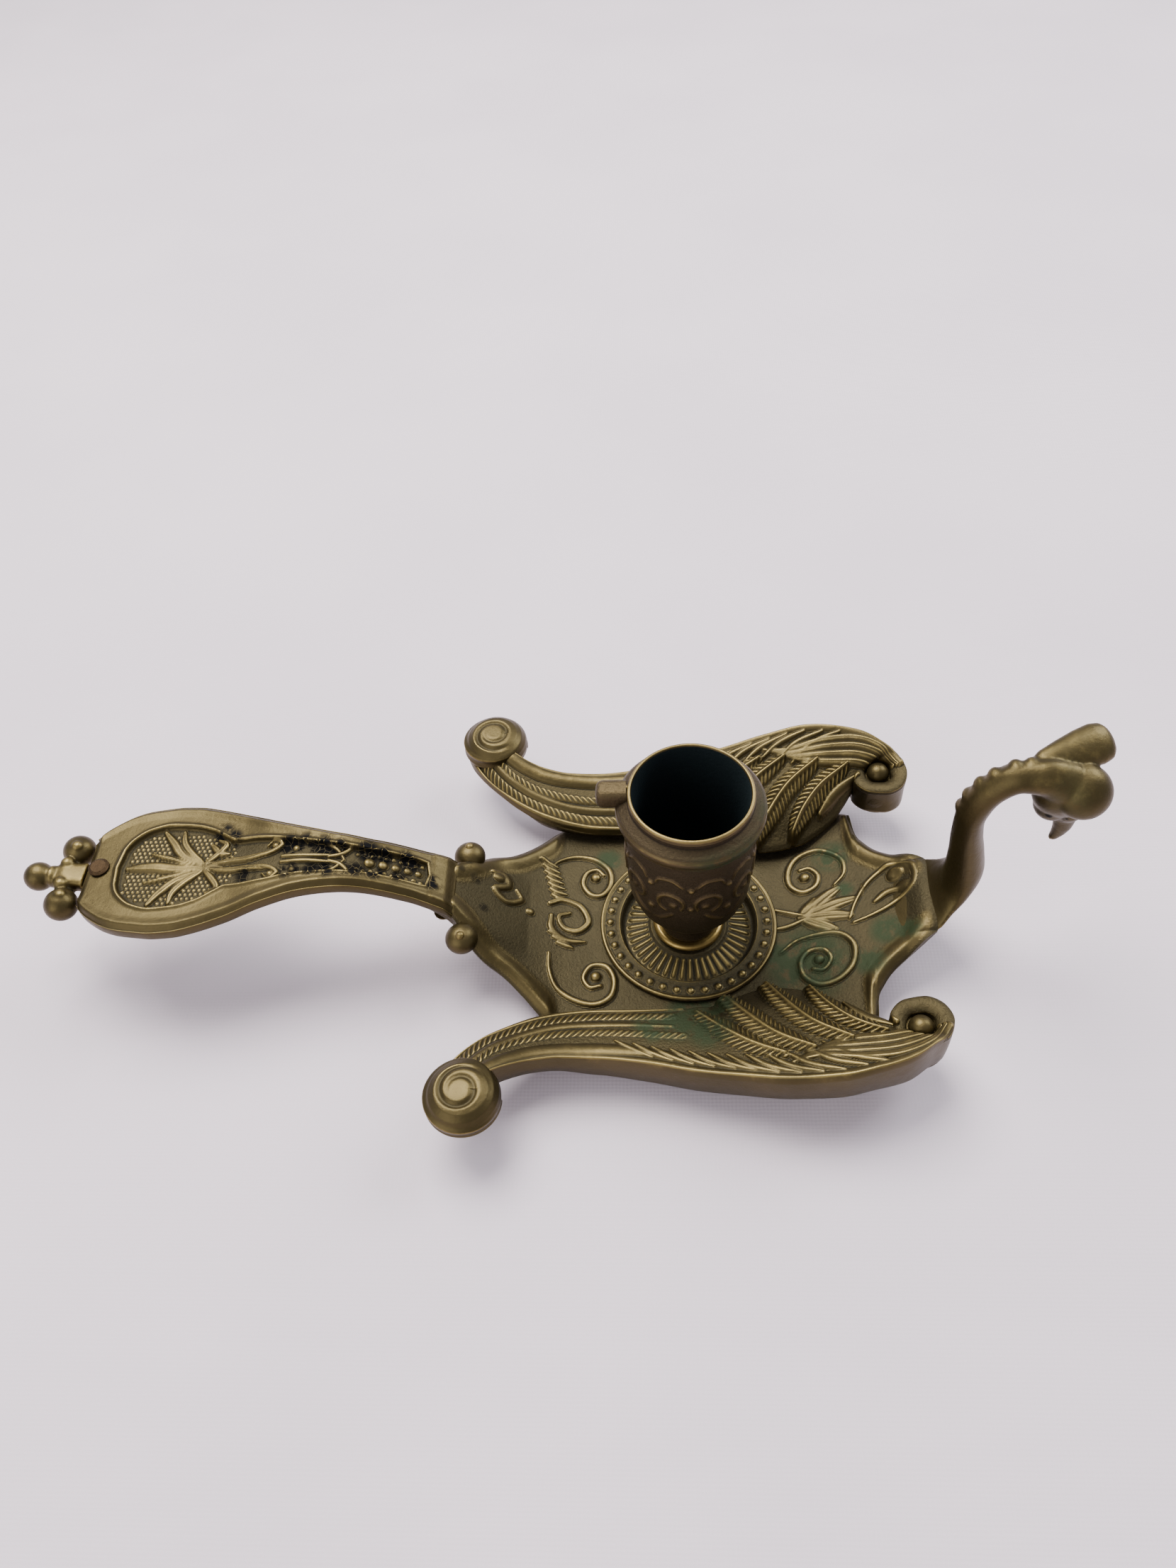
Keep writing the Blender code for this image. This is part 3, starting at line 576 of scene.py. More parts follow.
def tray_ornament(relief):
    volute(relief, (-19.8, 11.9), (
        (-30.2, 12.8), (-27.9, 15.8), (-24.2, 17.3), (-20.0, 16.7), (-16.9, 13.9), (-16.5, 10.2),
        (-18.3, 7.4), (-20.9, 7.6), (-22.5, 10.2), (-21.8, 13.0), (-19.6, 14.0), (-18.1, 12.6)))
    volute(relief, (-19.4, -12.7), (
        (-29.2, -7.5), (-28.9, -11.7), (-27.1, -15.8), (-23.3, -18.3), (-19.2, -19.0), (-16.2, -17.1),
        (-15.6, -13.3), (-17.3, -10.3), (-20.4, -10.2), (-21.9, -12.9), (-20.6, -15.1), (-18.4, -14.8)))
    volute(relief, (25.2, 10.6), (
        (31.0, 7.4), (33.2, 10.0), (32.8, 14.0), (28.6, 17.0), (24.4, 16.2), (22.0, 13.0), (22.0, 9.2),
        (24.4, 7.0), (27.2, 8.0), (27.9, 10.6), (26.4, 12.7), (24.4, 12.6)))
    volute(relief, (26.3, -9.8), (
        (18.8, -7.4), (22.1, -4.8), (26.7, -3.9), (30.8, -4.5), (33.2, -7.5), (32.8, -11.7), (30.0, -14.7),
        (26.2, -15.5), (23.2, -13.4), (22.6, -10.0), (24.5, -7.6), (27.3, -7.6), (28.6, -10.0), (27.0, -12.2),
        (25.0, -11.8)))
    for k in range(7):
        x, y = -30.6 + 0.42 * k, 14.6 - 1.45 * k
        relief.stroke(((x - 0.9, y + 1.0), (x + 0.6, y + 0.2), (x + 2.6, y - 0.6 + 0.1 * k)),
                      1.35, 0.85, (0.7, 0.4))
    relief.stroke(((-29.4, 4.6), (-26.8, 5.8), (-23.0, 4.4), (-21.2, 0.6), (-23.4, -1.8),
                   (-26.4, -1.0), (-27.4, 1.6), (-25.2, 2.6)), 1.6, 0.95, (0.8, 0.6), 0.15)
    relief.stroke(((-29.0, 1.6), (-28.8, -1.8), (-25.8, -4.2), (-21.8, -4.4)), 1.8, 0.9, (0.7, 0.4))
    for k in range(3):
        relief.stroke(((-29.4 + 0.9 * k, -2.4 - 1.2 * k), (-26.2 + k, -4.2 - 0.9 * k)), 1.2, 0.8, (0.7, 0.5))
    relief.stroke(((-40.8, 7.6), (-38.6, 8.0), (-37.8, 5.6), (-40.2, 3.6), (-38.0, 1.6), (-35.2, 3.4),
                   (-36.2, 5.4)), 1.7, 0.8, (0.8, 0.5))
    relief.dot(-39.6, 6.8, 1.4, 0.9)
    relief.dot(-33.4, 1.4, 0.95, 0.8)
    for tip, bend in (((31.6, 6.4), (28.4, 4.4)), ((34.4, 3.2), (30.4, 2.6)), ((33.4, -0.6), (29.6, 0.2)),
                      ((30.0, -3.2), (27.6, -1.8)), ((26.8, 4.6), (25.6, 2.8))):
        relief.stroke(((23.4, 0.8), bend, tip), 3.2, 0.8, (0.5, 0.55), 0.22)
    relief.stroke(((17.6, 3.2), (20.6, 2.4), (24.4, 1.0)), 1.3, 0.8, (0.6, 0.8))
    relief.stroke(((17.6, -1.8), (20.6, -1.2), (24.4, 0.2)), 1.3, 0.8, (0.6, 0.8))
    relief.stroke(((33.2, -1.4), (34.8, 2.4), (37.8, 6.6), (42.2, 9.2), (46.0, 7.8), (45.6, 3.0),
                   (42.0, 0.2), (37.6, -1.6), (33.8, -2.6)), 1.3, 0.85, (0.6, 0.6))
    relief.stroke(((38.4, 1.4), (41.0, 3.0), (44.2, 3.0)), 1.7, 0.9, (0.5, 0.9))
    relief.dot(42.8, 6.6, 1.6, 1.0)
    relief.dot(43.9, 3.2, 1.5, 0.95)


def tray_piece(metal):
    rows, columns = TRAY_GRID
    x = np.linspace(TRAY_BACK, TRAY_FRONT, rows)[:, None]
    y = curve(TRAY_WIDTHS, x) * np.linspace(-1, 1, columns)[None, :]
    x = np.broadcast_to(x, y.shape)
    outline = np.linspace(TRAY_BACK, TRAY_FRONT, 150)
    outline = np.stack([outline, curve(TRAY_WIDTHS, outline)], -1)
    inside = np.abs(nearest(x, np.abs(y), outline)[0])
    bare = 1 - smooth(-29.0, -26.5, x) * smooth(35.6, 33.4, x)
    bare = bare * smooth(TRAY_BACK, TRAY_BACK + 6.0, x) * smooth(TRAY_FRONT, TRAY_FRONT - 4.5, x)
    rim = 1.15 * smooth(0.0, 2.2, inside) * smooth(5.6, 2.2, inside)
    lip = -0.8 * np.clip(1 - inside / 1.2, 0, 1) ** 2
    relief = Relief(x, y)
    tray_ornament(relief)
    calm = smooth(2.2, 4.2, inside + 3 * (1 - bare))
    ornament = relief.height * calm
    high = curve(TRAY_GROUND, x) + bare * rim + lip + ornament
    (_, middle), thick, wide = NECK_STATIONS[NECK_ON_TRAY]
    arch = middle + thick * np.sqrt(np.clip(1 - (y / wide) ** 2, 0, 1)) - 0.1
    high = high + (arch - high) * smooth(42.5, TRAY_FRONT, x)
    root = TRAY_ROOT_TOP - np.maximum(TRAY_ROOT_SLOPE * (x - HANDLE_ROOT), 0.0) - curve(TRAY_GROUND, x)
    high = high + np.maximum(root, 0.0) * smooth(12.0, 6.0, np.abs(y))
    worn = np.clip(bare * rim * 0.55 + ornament, 0, 1.2)
    green = spots(x, y, (
        (24.0, -10.0, 9.0), (18.0, -8.0, 4.0), (40.0, -5.5, 3.6), (43.5, -7.0, 2.6), (36.0, -12.0, 3.4),
        (31.0, 15.0, 4.0), (0.0, -20.0, 5.0), (-17.0, 17.0, 3.0), (33.0, 6.0, 2.0)))
    black = 0.6 * spots(x, y, ((-44.0, 4.0, 1.2), (-42.2, -2.0, 1.1), (-45.6, 7.0, 0.9), (-46.8, 4.6, 0.8)))
    past_seat = np.hypot(x, y) > DISH_SEAT
    keep = past_seat[1:, 1:] & past_seat[:-1, :-1]
    top = sheet(x, y, high)
    under = sheet(x, y * 0.985, curve(TRAY_GROUND, x) - TRAY_THICK)
    shape = Shape()
    shape.grid(top, worn, green, black, keep=keep, inside=(0.0, 0.0, -60.0))
    shape.grid(under, 0.1, keep=keep, inside=(0.0, 0.0, 80.0))
    for j in (0, -1):
        shape.grid(np.stack([top[:, j], under[:, j]], 1), 0.3, inside=(0.0, 0.0, 8.0))
    for i in (0, -1):
        shape.grid(np.stack([top[i], under[i]], 0), 0.1, inside=(0.0, 0.0, 8.0))
    for side in (1, -1):
        shape.ball((-45.9, side * 10.1, 14.9), 3.3, 0.35, squash=0.85)
        shape.ball((-45.8, side * 10.9, 17.2), 0.95, 0.4, 24, 14)
    return shape.build("tray_casting", metal, "stand", "aged_brass", "tray")


def turning(shape, line, sides, step, relief=None, raised=0.0, **values):
    """A turned surface from an open (radius, z) line; relief gives (up, out, raised) for (angle, r, z)."""
    rows = resample(line, step)
    a, r, z = np.broadcast_arrays(around(sides), rows[:, :1], rows[:, 1:])
    if relief:
        up, out, raised = relief(a, r, z)
        r, z = r + out, z + up
    return shape.grid(sheet(r * np.cos(a), r * np.sin(a), z), raised, across=True, **values)


def dish_relief(a, r, z):
    """Flutes round the hub and the ring of beads."""
    top = (z > 1.5) & (r > HUB_RADIUS) & (r < 14.0)
    fade = smooth(HUB_RADIUS, 9.0, r) * smooth(13.4, 12.0, r) * top
    flute = (0.5 + 0.5 * np.cos(FLUTE_COUNT * a)) ** 1.5
    turn = 2 * math.pi / BEAD_COUNT
    off = (a + 0.5 * turn) % turn - 0.5 * turn
    far = np.hypot(off * BEAD_CIRCLE, r - BEAD_CIRCLE) / BEAD_RADIUS
    beads = np.sqrt(np.clip(1 - far ** 2, 0, 1)) * (z > 4.0)
    return 0.5 * flute * fade + 0.75 * beads, 0.0, flute * fade * 0.95 + beads * 0.8 + 0.35 * (r > 17.6)


def dish_piece(metal):
    shape = Shape()
    line = (
        (0.01, 0.8), (3.3, 0.8), (3.3, 4.1), (7.9, 4.1), (8.4, 3.6), (9.4, 3.1), (12.6, 2.1), (13.5, 2.0),
        (13.9, 2.5), (14.1, 4.2), (14.5, 4.6), (15.1, 4.5), (15.5, 4.3), (17.5, 4.3), (17.9, 4.6),
        (18.3, 4.65), (18.6, 4.3), (18.6, 3.7), (15.4, 3.7), (15.4, 0.0), (0.01, 0.0),
    )
    turning(shape, line, 440, 0.28, dish_relief)
    return shape.build("dish_turning", metal, "stand", "aged_brass", "drip_dish")


def collar_piece(metal):
    shape = Shape()
    line = ((3.3, 4.5), (3.3, 5.8), (6.0, 5.8), (6.6, 5.75), (7.1, 5.5), (7.4, 5.1), (7.4, 4.8),
            (7.1, 4.5), (3.3, 4.5))
    turning(shape, line, 96, 0.3, raised=0.7)
    return shape.build("collar_turning", metal, "collar", "bright_brass", "foot_collar")


def cup_relief(a, r, z):
    """The band of curls round the barrel, the fine turning marks above it, and a painted highlight on the rim
    lip and the flange's edge.
    """
    period = 2 * math.pi / CUP_MOTIFS
    u = ((a + 0.35) % period) * CUP_RADIUS
    relief = Relief(u, z)
    wide = period * CUP_RADIUS
    for shift in (-wide, 0.0, wide):
        for sign, mid in ((1, 3.6 + shift), (-1, 11.8 + shift)):
            relief.stroke([(mid - sign * (2.5 * math.cos(t)), 29.2 + 2.7 * math.sin(t))
                           for t in np.linspace(-0.6, 4.4, 10)], 1.1, 0.42, (0.7, 0.5))
            relief.dot(mid - sign * 0.5, 28.6, 0.9, 0.4)
            relief.stroke(((mid - sign * 0.4, 25.6), (mid + sign * 1.6, 23.6), (mid + sign * 3.6, 22.6)),
                          1.1, 0.36, (0.6, 0.4))
            relief.stroke(((mid - sign * 2.4, 34.8), (mid - sign * 0.4, 36.6), (mid + sign * 2.2, 36.2),
                           (mid + sign * 3.2, 34.4)), 1.0, 0.4, (0.5, 0.5))
        relief.dot(7.7 + shift, 33.8, 0.8, 0.55)
        relief.dot(7.7 + shift, 26.2, 0.9, 0.5)
        relief.dot(0.3 + shift, 34.2, 0.75, 0.55)
        relief.dot(0.3 + shift, 28.0, 0.7, 0.4)
    barrel = (r > 11.2) & (z < 40.0) & (z > 18.0)
    h = relief.height * barrel * smooth(38.8, 37.6, z) * smooth(19.0, 21.0, z)
    lathe = 0.035 * np.cos(z * 9.0) * (z > 40.5)
    # The rim lip and the outer edge of the flange are painted lighter, towards the crest colour: painted
    # highlight.
    raised = h * 1.1 + 0.6 * smooth(47.2, 48.3, z) + 0.45 * smooth(13.5, 13.9, r)
    return 0.0, (h + lathe) * (r > 11.2), raised


def lug_shape(shape):
    """The lug on the collar, and the fin that runs from it up to the rim."""
    for low, high, half, reach, near in ((43.6, 48.2, 2.2, 17.6, 11.9), (46.2, 48.2, 0.5, 14.4, 11.6)):
        a = around(64)
        across = np.sign(np.cos(a)) * np.abs(np.cos(a)) ** 0.6
        upward = np.sign(np.sin(a)) * np.abs(np.sin(a)) ** 0.6
        rings = []
        for x, size in ((near, 1.0), (reach - 1.4, 1.0), (reach - 0.8, 0.94), (reach - 0.3, 0.8),
                        (reach, 0.5), (reach + 0.02, 0.0)):
            rings.append(sheet(-x, 1.7 + across * half * size,
                               0.5 * (low + high) + upward * 0.5 * (high - low) * size))
        # The lug's relief value of 0.1 darkens it towards the recess colour: painted shade.
        shape.grid(np.array(rings), 0.1, across=True)


def cup_piece(metal, dark):
    outside = (
        (11.0, 48.1), (11.2, 48.5), (11.6, 48.45), (11.8, 48.0), (11.8, 47.3), (11.7, 46.5),
        (12.4, 46.0), (13.2, 45.5), (13.9, 44.9), (14.1, 44.4), (14.0, 43.6), (13.6, 42.4), (13.2, 41.8),
        (12.6, 41.3), (12.2, 40.8), (12.1, 40.2), (12.2, 38.0), (12.3, 30.0), (12.2, 24.0), (11.9, 20.5),
        (11.0, 17.6), (9.6, 15.0), (7.6, 12.9), (5.9, 12.0), (5.6, 9.0), (5.9, 6.1), (3.3, 6.1),
        (3.3, 11.8), (0.01, 11.8),
    )
    sides, step = 330, 0.26
    shape = Shape()
    angle = (around(sides) + math.pi) % (2 * math.pi) - math.pi
    z = resample(outside, step)[:, 1:]
    green = (smooth(0.75, 0.2, np.abs(angle + 1.05)) * smooth(39.5, 41.0, z) * smooth(46.5, 44.0, z)
             + 0.5 * smooth(0.5, 0.1, np.abs(angle + 0.1)) * smooth(40.0, 42.0, z) * smooth(47.0, 45.0, z))
    turning(shape, outside, sides, step, cup_relief, green=green)
    lug_shape(shape)
    shape.build("cup_turning", metal, "cup", "brown_brass", "candle_cup")
    liner = Shape()
    turning(liner, ((0.01, 19.5), (9.0, 19.5), (9.6, 19.8), (10.0, 21.3), (10.4, 24.5), (10.97, 47.6),
                    (11.05, 48.2)), 160, 0.8, inside=(0.0, 0.0, -1000.0))
    liner.build("cup_liner", dark, "cup", "brown_brass", "candle_cup")


def wing_columns(s):
    """The inner edge's x, y, z, the outer edge's x, y, z and the foot's z at the station s."""
    keys = [list(a) + list(b) + [c] for a, b, c in WING_STATIONS]
    return [curve(tuple(enumerate(k[j] for k in keys)), s) for j in range(7)]


def wing_ornament(relief):
    """Ornament of the left wing in plan."""
    relief.rope(((-46.6, 40.4), (-44.4, 36.0), (-41.4, 32.4), (-37.2, 29.3), (-30.0, 26.2), (-22.0, 24.4),
                 (-12.0, 24.0), (-4.0, 24.2)), 2.0, 0.6, 1.3)
    relief.rope(((-42.6, 39.6), (-40.4, 35.4), (-36.2, 32.2), (-30.0, 29.9), (-22.0, 28.6), (-12.0, 28.6),
                 (-2.0, 29.4)), 1.8, 0.55, 1.3)
    relief.stroke(((-44.8, 41.0), (-42.4, 36.4), (-38.6, 32.6), (-33.0, 29.4), (-25.0, 26.8), (-14.0, 26.2),
                   (-4.0, 26.8)), 1.7, 0.5, (0.7, 0.5))
    relief.stroke(((-49.0, 41.0), (-46.8, 36.6), (-43.4, 32.2), (-38.8, 28.8), (-31.0, 25.0), (-22.0, 22.8),
                   (-12.0, 22.4), (-2.0, 22.2)), 1.3, 0.7, (0.7, 0.5))
    relief.stroke(((-43.6, 43.0), (-39.4, 38.2), (-34.6, 35.3), (-28.0, 33.4), (-18.0, 32.9), (-8.0, 33.6),
                   (2.0, 35.6)), 3.4, 0.95, (0.8, 0.3))
    relief.stroke(((-43.4, 44.0), (-38.4, 39.0), (-34.2, 37.0), (-30.0, 35.5), (-25.0, 34.6), (-18.0, 34.7),
                   (-9.0, 35.7), (0.0, 37.8), (9.0, 39.6), (18.0, 41.2), (26.0, 41.6), (33.0, 40.4),
                   (39.0, 38.2), (43.5, 35.0), (46.4, 31.6)), 2.6, 0.8, (0.8, 0.8))
    for k in range(12):
        x = -15.0 + 3.5 * k
        run = 7.0 + 0.35 * k
        outer = curve([edge[:2] for _, edge, _ in WING_STATIONS[OUTER_EDGE]], np.array([x + run]))[0] - 0.7
        relief.stroke(((x, outer - 5.2 - 0.16 * k), (x + 0.42 * run, outer - 3.3), (x + run, outer - 1.2)),
                      1.6, 0.95, (0.4, 0.5))
    relief.feather(((0.8, 23.6), (5.6, 28.4), (11.0, 32.6), (16.6, 35.6)), 5.4, 1.15)
    relief.feather(((5.6, 19.2), (10.4, 25.4), (15.4, 30.8), (22.0, 35.0)), 5.8, 1.35)
    relief.feather(((14.4, 17.2), (17.6, 22.4), (22.4, 28.6), (29.0, 33.4)), 5.8, 1.5)
    relief.feather(((23.0, 18.8), (25.6, 23.6), (29.6, 28.2), (35.4, 32.0)), 5.2, 1.45)
    for k in range(4):
        lift = 1.5 * k
        relief.stroke(((17.6 + 1.4 * k, 37.6 - 0.5 * lift), (23.0 + k, 36.6 - 0.6 * lift),
                       (30.0, 37.6 - lift), (37.0, 37.4 - lift * 1.1), (42.6, 35.0 - lift * 0.9),
                       (45.8 - 0.6 * lift, 31.2)), 1.9, 1.05, (0.4, 0.6), 0.1)
    relief.stroke(((29.2, 23.0), (33.0, 27.2), (37.4, 29.8)), 2.2, 1.0, (0.5, 0.6))


def wing_piece(name, side, metal, green_spots):
    n, m = 760, 124
    s = np.linspace(0.0, len(WING_STATIONS) - 1.0, n)
    ix, iy, iz, ox, oy, oz, foot = [v[:, None] for v in wing_columns(s)]
    t = np.linspace(0, 1, m)[None, :]
    x, y = ix + (ox - ix) * t, iy + (oy - iy) * t
    relief = Relief(x, y)
    wing_ornament(relief)
    notch = 1.5 * smooth(0.3, 0.02, t) * smooth(0.5, 0.1, relief.height)
    notch = notch * smooth(1.0, 4.0, x) * smooth(36.0, 32.0, x)
    crown = 0.9 * (4 * t * (1 - t)) ** 0.6
    drop = -0.5 * smooth(0.04, 0.0, t) - 0.45 * smooth(0.965, 1.0, t)
    ornament = relief.height * smooth(0.0, 0.03, t) * smooth(1.0, 0.98, t)
    top = sheet(x, y, iz + (oz - iz) * t + crown + ornament - 0.35 + drop - notch)
    w = np.linspace(0, 1, 14)[None, 1:]
    wall = sheet(ox, oy + 0.25 * np.sin(math.pi * w), top[:, -1:, 2] * (1 - w) + foot * w)
    low = np.maximum(iz - FEATHER_THICK, curve(TRAY_GROUND, ix) + 0.4)
    low = np.minimum(low, iz - 0.8)
    q = np.linspace(0, 1, 20)[None, 1:-1]
    under = sheet(ox + (ix - ox) * q, oy + (iy + 0.4 - oy) * q, foot + (low - foot) * q)
    lip = sheet(ix, iy + 0.4, low)
    ring = np.concatenate([top, wall, under, lip], axis=1)
    raised = np.concatenate([np.clip(relief.height * 0.7 + 0.05, 0, 1.2), np.full(wall.shape[:2], 0.4),
                             np.full(under.shape[:2], 0.1), np.full((n, 1), 0.2)], axis=1)
    ring[..., 1] *= side
    green = spots(ring[..., 0], ring[..., 1], green_spots)
    shape = Shape()
    shape.tube(ring, raised, green=green)
    snail(shape, side)
    scroll(shape, side)
    return shape.build(f"{name}_casting", metal, "stand", "aged_brass", name)


def snail(shape, side):
    """The knob at the wing's back end, with a spiral groove on top and a band wound round its side."""
    line = ((0.01, 9.75), (4.6, 9.75), (6.2, 10.33), (7.0, 11.72), (7.15, 13.14), (6.9, 14.5), (6.1, 15.75),
            (5.0, 16.6), (3.9, 16.95), (2.6, 17.1), (1.3, 17.15), (0.01, 17.15))
    rows = resample(line, 0.22)
    a, r, z = around(160), rows[:, :1], rows[:, 1:]
    turn = (a / (2 * math.pi)) % 1.0
    upper = 0.42 * np.exp(-(((z - (13.4 + 2.2 * turn)) / 0.5) ** 2))
    upper = upper * smooth(0.0, 0.2, turn) * smooth(1.0, 0.75, turn)
    lower = 0.25 * np.exp(-(((z - (11.6 + 1.6 * turn)) / 0.45) ** 2)) * smooth(1.0, 0.6, turn)
    ridge = (upper + lower) * (r > 3.4)
    spiral = np.exp(-(((r - 2.5 - 2.8 * turn) / 0.5) ** 2)) * smooth(1.0, 0.7, turn)
    ring = 0.7 * np.exp(-(((r - 2.5) / 0.45) ** 2)) * smooth(0.35, 0.8, turn)
    groove = np.maximum(spiral, ring) * (z > 14.6)
    wide = r + ridge
    points = sheet(SNAIL_CENTRE[0] + wide * np.cos(a), side * (SNAIL_CENTRE[1] + wide * np.sin(a)),
                   z + 0.3 * ridge - 0.5 * groove)
    shape.tube(points, 0.28 + 0.6 * ridge)


def scroll(shape, side):
    """The hollow and the eye at the wing's front, inside the band that curls round them."""
    rows = resample(((0.01, 14.7), (3.4, 14.7), (4.9, 15.0), (5.5, 14.4), (5.7, 12.0), (5.5, 9.0),
                     (4.2, 7.6), (0.01, 7.5)), 0.25)
    a, r, z = around(120), rows[:, :1], rows[:, 1:]
    points = sheet(SCROLL_CENTRE[0] + r * np.cos(a), side * (SCROLL_CENTRE[1] + r * np.sin(a)), z)
    shape.tube(points, 0.12)
    shape.ball((SCROLL_CENTRE[0], side * (SCROLL_CENTRE[1] + 0.3), 15.4), 2.4, 0.5)


def handle_ornament(relief):
    for points, width in (
        (((-97.6, -0.4), (-103.0, -0.4), (-108.0, 0.2), (-113.2, 0.0)), 3.0),
        (((-97.8, 0.6), (-102.2, 2.6), (-105.0, 6.0), (-107.4, 8.8)), 2.3),
        (((-97.8, 0.9), (-100.6, 3.2), (-102.6, 5.8), (-103.4, 8.8)), 1.9),
        (((-97.8, -1.2), (-102.2, -3.2), (-105.2, -6.2), (-107.0, -8.8)), 2.3),
        (((-97.8, -1.5), (-100.6, -3.8), (-102.4, -6.2), (-102.8, -8.6)), 1.9),
        (((-99.0, 0.0), (-104.0, 1.8), (-109.0, 3.4)), 1.4),
        (((-99.0, -0.8), (-104.0, -2.4), (-109.0, -3.6)), 1.4),
        (((-96.6, 5.0), (-94.6, 3.0), (-92.6, 2.6)), 1.8),
        (((-97.4, 0.4), (-95.4, 2.2), (-93.6, 4.8), (-95.4, 6.2)), 1.7),
        (((-97.4, -0.8), (-95.4, -2.8), (-93.6, -5.4), (-95.6, -6.6)), 1.7),
        (((-97.0, 0.0), (-92.0, 0.8), (-88.0, 1.0), (-83.0, 1.8)), 1.7),
        (((-97.0, -0.6), (-92.0, -1.4), (-88.0, -1.4), (-83.0, -2.0)), 1.7),
        (((-89.0, 1.2), (-84.0, 1.6), (-81.4, 3.4), (-83.0, 4.6), (-84.4, 3.4)), 1.1),
        (((-89.0, -1.2), (-84.0, -1.6), (-81.4, -3.2), (-83.0, -4.4), (-84.4, -3.2)), 1.1),
    ):
        relief.stroke(points, width, 1.05, (0.6, 0.45), 0.15)
    for side in (1, -1):
        relief.stroke(((-81.0, side * 0.7), (-76.0, side * 0.6), (-70.6, side * 0.8)), 1.1, 0.8, (0.6, 0.6))
        relief.stroke(((-71.4, side * 0.5), (-69.0, side * 1.2), (-67.0, side * 3.0)), 1.1, 0.8, (0.8, 0.6))
        relief.stroke(((-72.4, side * 3.4), (-70.0, side * 2.2), (-68.4, 0.0)), 0.9, 0.7, (0.7, 0.6))
        relief.dot(-82.8, side * 3.4, 0.8, 0.9)
        relief.dot(-78.4, side * 2.6, 0.7, 0.5)
    for k, x in enumerate((-63.6, -61.0, -58.6, -56.4, -54.4)):
        relief.dot(x, 0.0, 1.15 - 0.11 * k, 0.95 - 0.08 * k)
    for k in range(10):
        for y in (1.7, -1.7):
            relief.dot(-66.0 + 1.35 * k, y * (1 + 0.12 * (k % 2)), 0.42, 0.4)
    for row, y in enumerate(np.arange(-8.4, 8.5, 0.95), 1):
        for x in np.arange(-113.0 + 0.5 * (row % 2), -91.0, 1.05):
            if curve(PANEL_WIDTHS, np.array([x]))[0] - abs(y) > 1.4:
                relief.dot(x, y, 0.4, 0.34)


def handle_piece(metal):
    n, m = 460, 130
    x = np.linspace(HANDLE_TIP, HANDLE_ROOT, n)[:, None]
    half = curve(HANDLE_WIDTHS, x)
    t = np.linspace(-1, 1, m)[None, :]
    y = half * np.sign(t) * np.abs(t) ** 0.9
    x = np.broadcast_to(x, y.shape)
    line = np.linspace(PANEL_BACK, PANEL_FRONT, 120)
    outline = np.stack([line, curve(PANEL_WIDTHS, line)], -1)
    gap = np.abs(nearest(x, np.abs(y), outline)[0])
    within = (np.abs(y) < curve(PANEL_WIDTHS, x)) & (x > PANEL_BACK) & (x < PANEL_FRONT)
    panel = np.where(within, smooth(0.0, 0.7, gap), 0.0)
    bead = np.exp(-((gap / 0.55) ** 2)) * (x > -116.0) * (x < -51.6) * 0.35
    relief = Relief(x, y)
    handle_ornament(relief)
    ornament = relief.height * panel
    edge = half - np.abs(y)
    roll = -0.9 * np.clip(1 - edge / 1.6, 0, 1) ** 2
    pad = 0.3 * smooth(-52.4, -51.2, x) * smooth(0.2, 1.0, edge)
    swell = 0.35 * smooth(3.2, 0.6, edge) * smooth(0.2, 1.2, edge)
    tip = -0.9 * smooth(-120.6, -122.0, x)
    line_top = curve(HANDLE_TOP, x) - 0.9 * smooth(-49.3, -47.5, x)
    high = line_top - 1.15 * panel + bead + ornament + roll + pad + tip + swell
    raised = np.clip(0.32 * (1 - panel) + ornament * 0.9 + bead, 0, 1.2)
    black = spots(x, y, (
        (-94.6, 7.6, 2.6), (-92.4, 6.2, 2.4), (-79.6, 2.9, 3.0), (-76.0, 2.9, 3.2), (-72.6, 2.7, 2.8),
        (-69.8, 2.4, 2.4), (-79.0, -3.0, 2.7), (-74.6, -2.8, 2.2), (-71.6, -2.6, 2.9), (-69.0, -2.4, 2.4),
        (-64.0, 2.4, 2.8), (-61.0, 2.2, 2.0), (-56.4, 2.0, 2.5), (-66.0, -2.2, 2.4), (-62.4, -2.2, 2.3),
        (-51.6, -1.6, 2.0), (-58.0, -2.0, 1.8))) * smooth(0.9, 0.2, ornament)
    black = np.maximum(black, 0.9 * spots(x, y, ((-88.0, -3.0, 2.4),)) * panel)
    top = sheet(x, y, high)
    a = np.linspace(0, math.pi, 16)[None, 1:-1]
    middle = line_top[:, :1] - 0.5 * HANDLE_THICK
    tall = 0.5 * HANDLE_THICK - 0.45
    far = sheet(x[:, :1], half + 0.25 * np.sin(a), middle - 0.2 + tall * np.cos(a))
    q = np.linspace(1, -1, 34)[None, :]
    bottom = middle - 0.5 * HANDLE_THICK - 0.05
    hollow = 0.9 * smooth(1.0, 0.75, np.abs(q)) * smooth(HANDLE_TIP, HANDLE_TIP + 6, x[:, :1])
    under = sheet(x[:, :1], (half - 0.4) * q, bottom + hollow * 0.5)
    near = far[:, ::-1] * np.array((1, -1, 1))
    ring = np.concatenate([top, far, under, near], axis=1)
    pad_values = ((0, 0), (0, ring.shape[1] - m))
    shape = Shape()
    shape.tube(ring, np.pad(raised, pad_values, constant_values=0.3), black=np.pad(black, pad_values))
    return shape.build("handle_casting", metal, "stand", "aged_brass", "handle")


def blob(work, centre, radii, turn=Matrix.Identity(4)):
    """Adds an ellipsoid."""
    matrix = Matrix.Translation(Vector(centre) * MM) @ turn @ Matrix.Diagonal((*radii, 1.0))
    made = bmesh.ops.create_uvsphere(work, u_segments=32, v_segments=20, radius=MM)
    bmesh.ops.transform(work, matrix=matrix, verts=made["verts"])


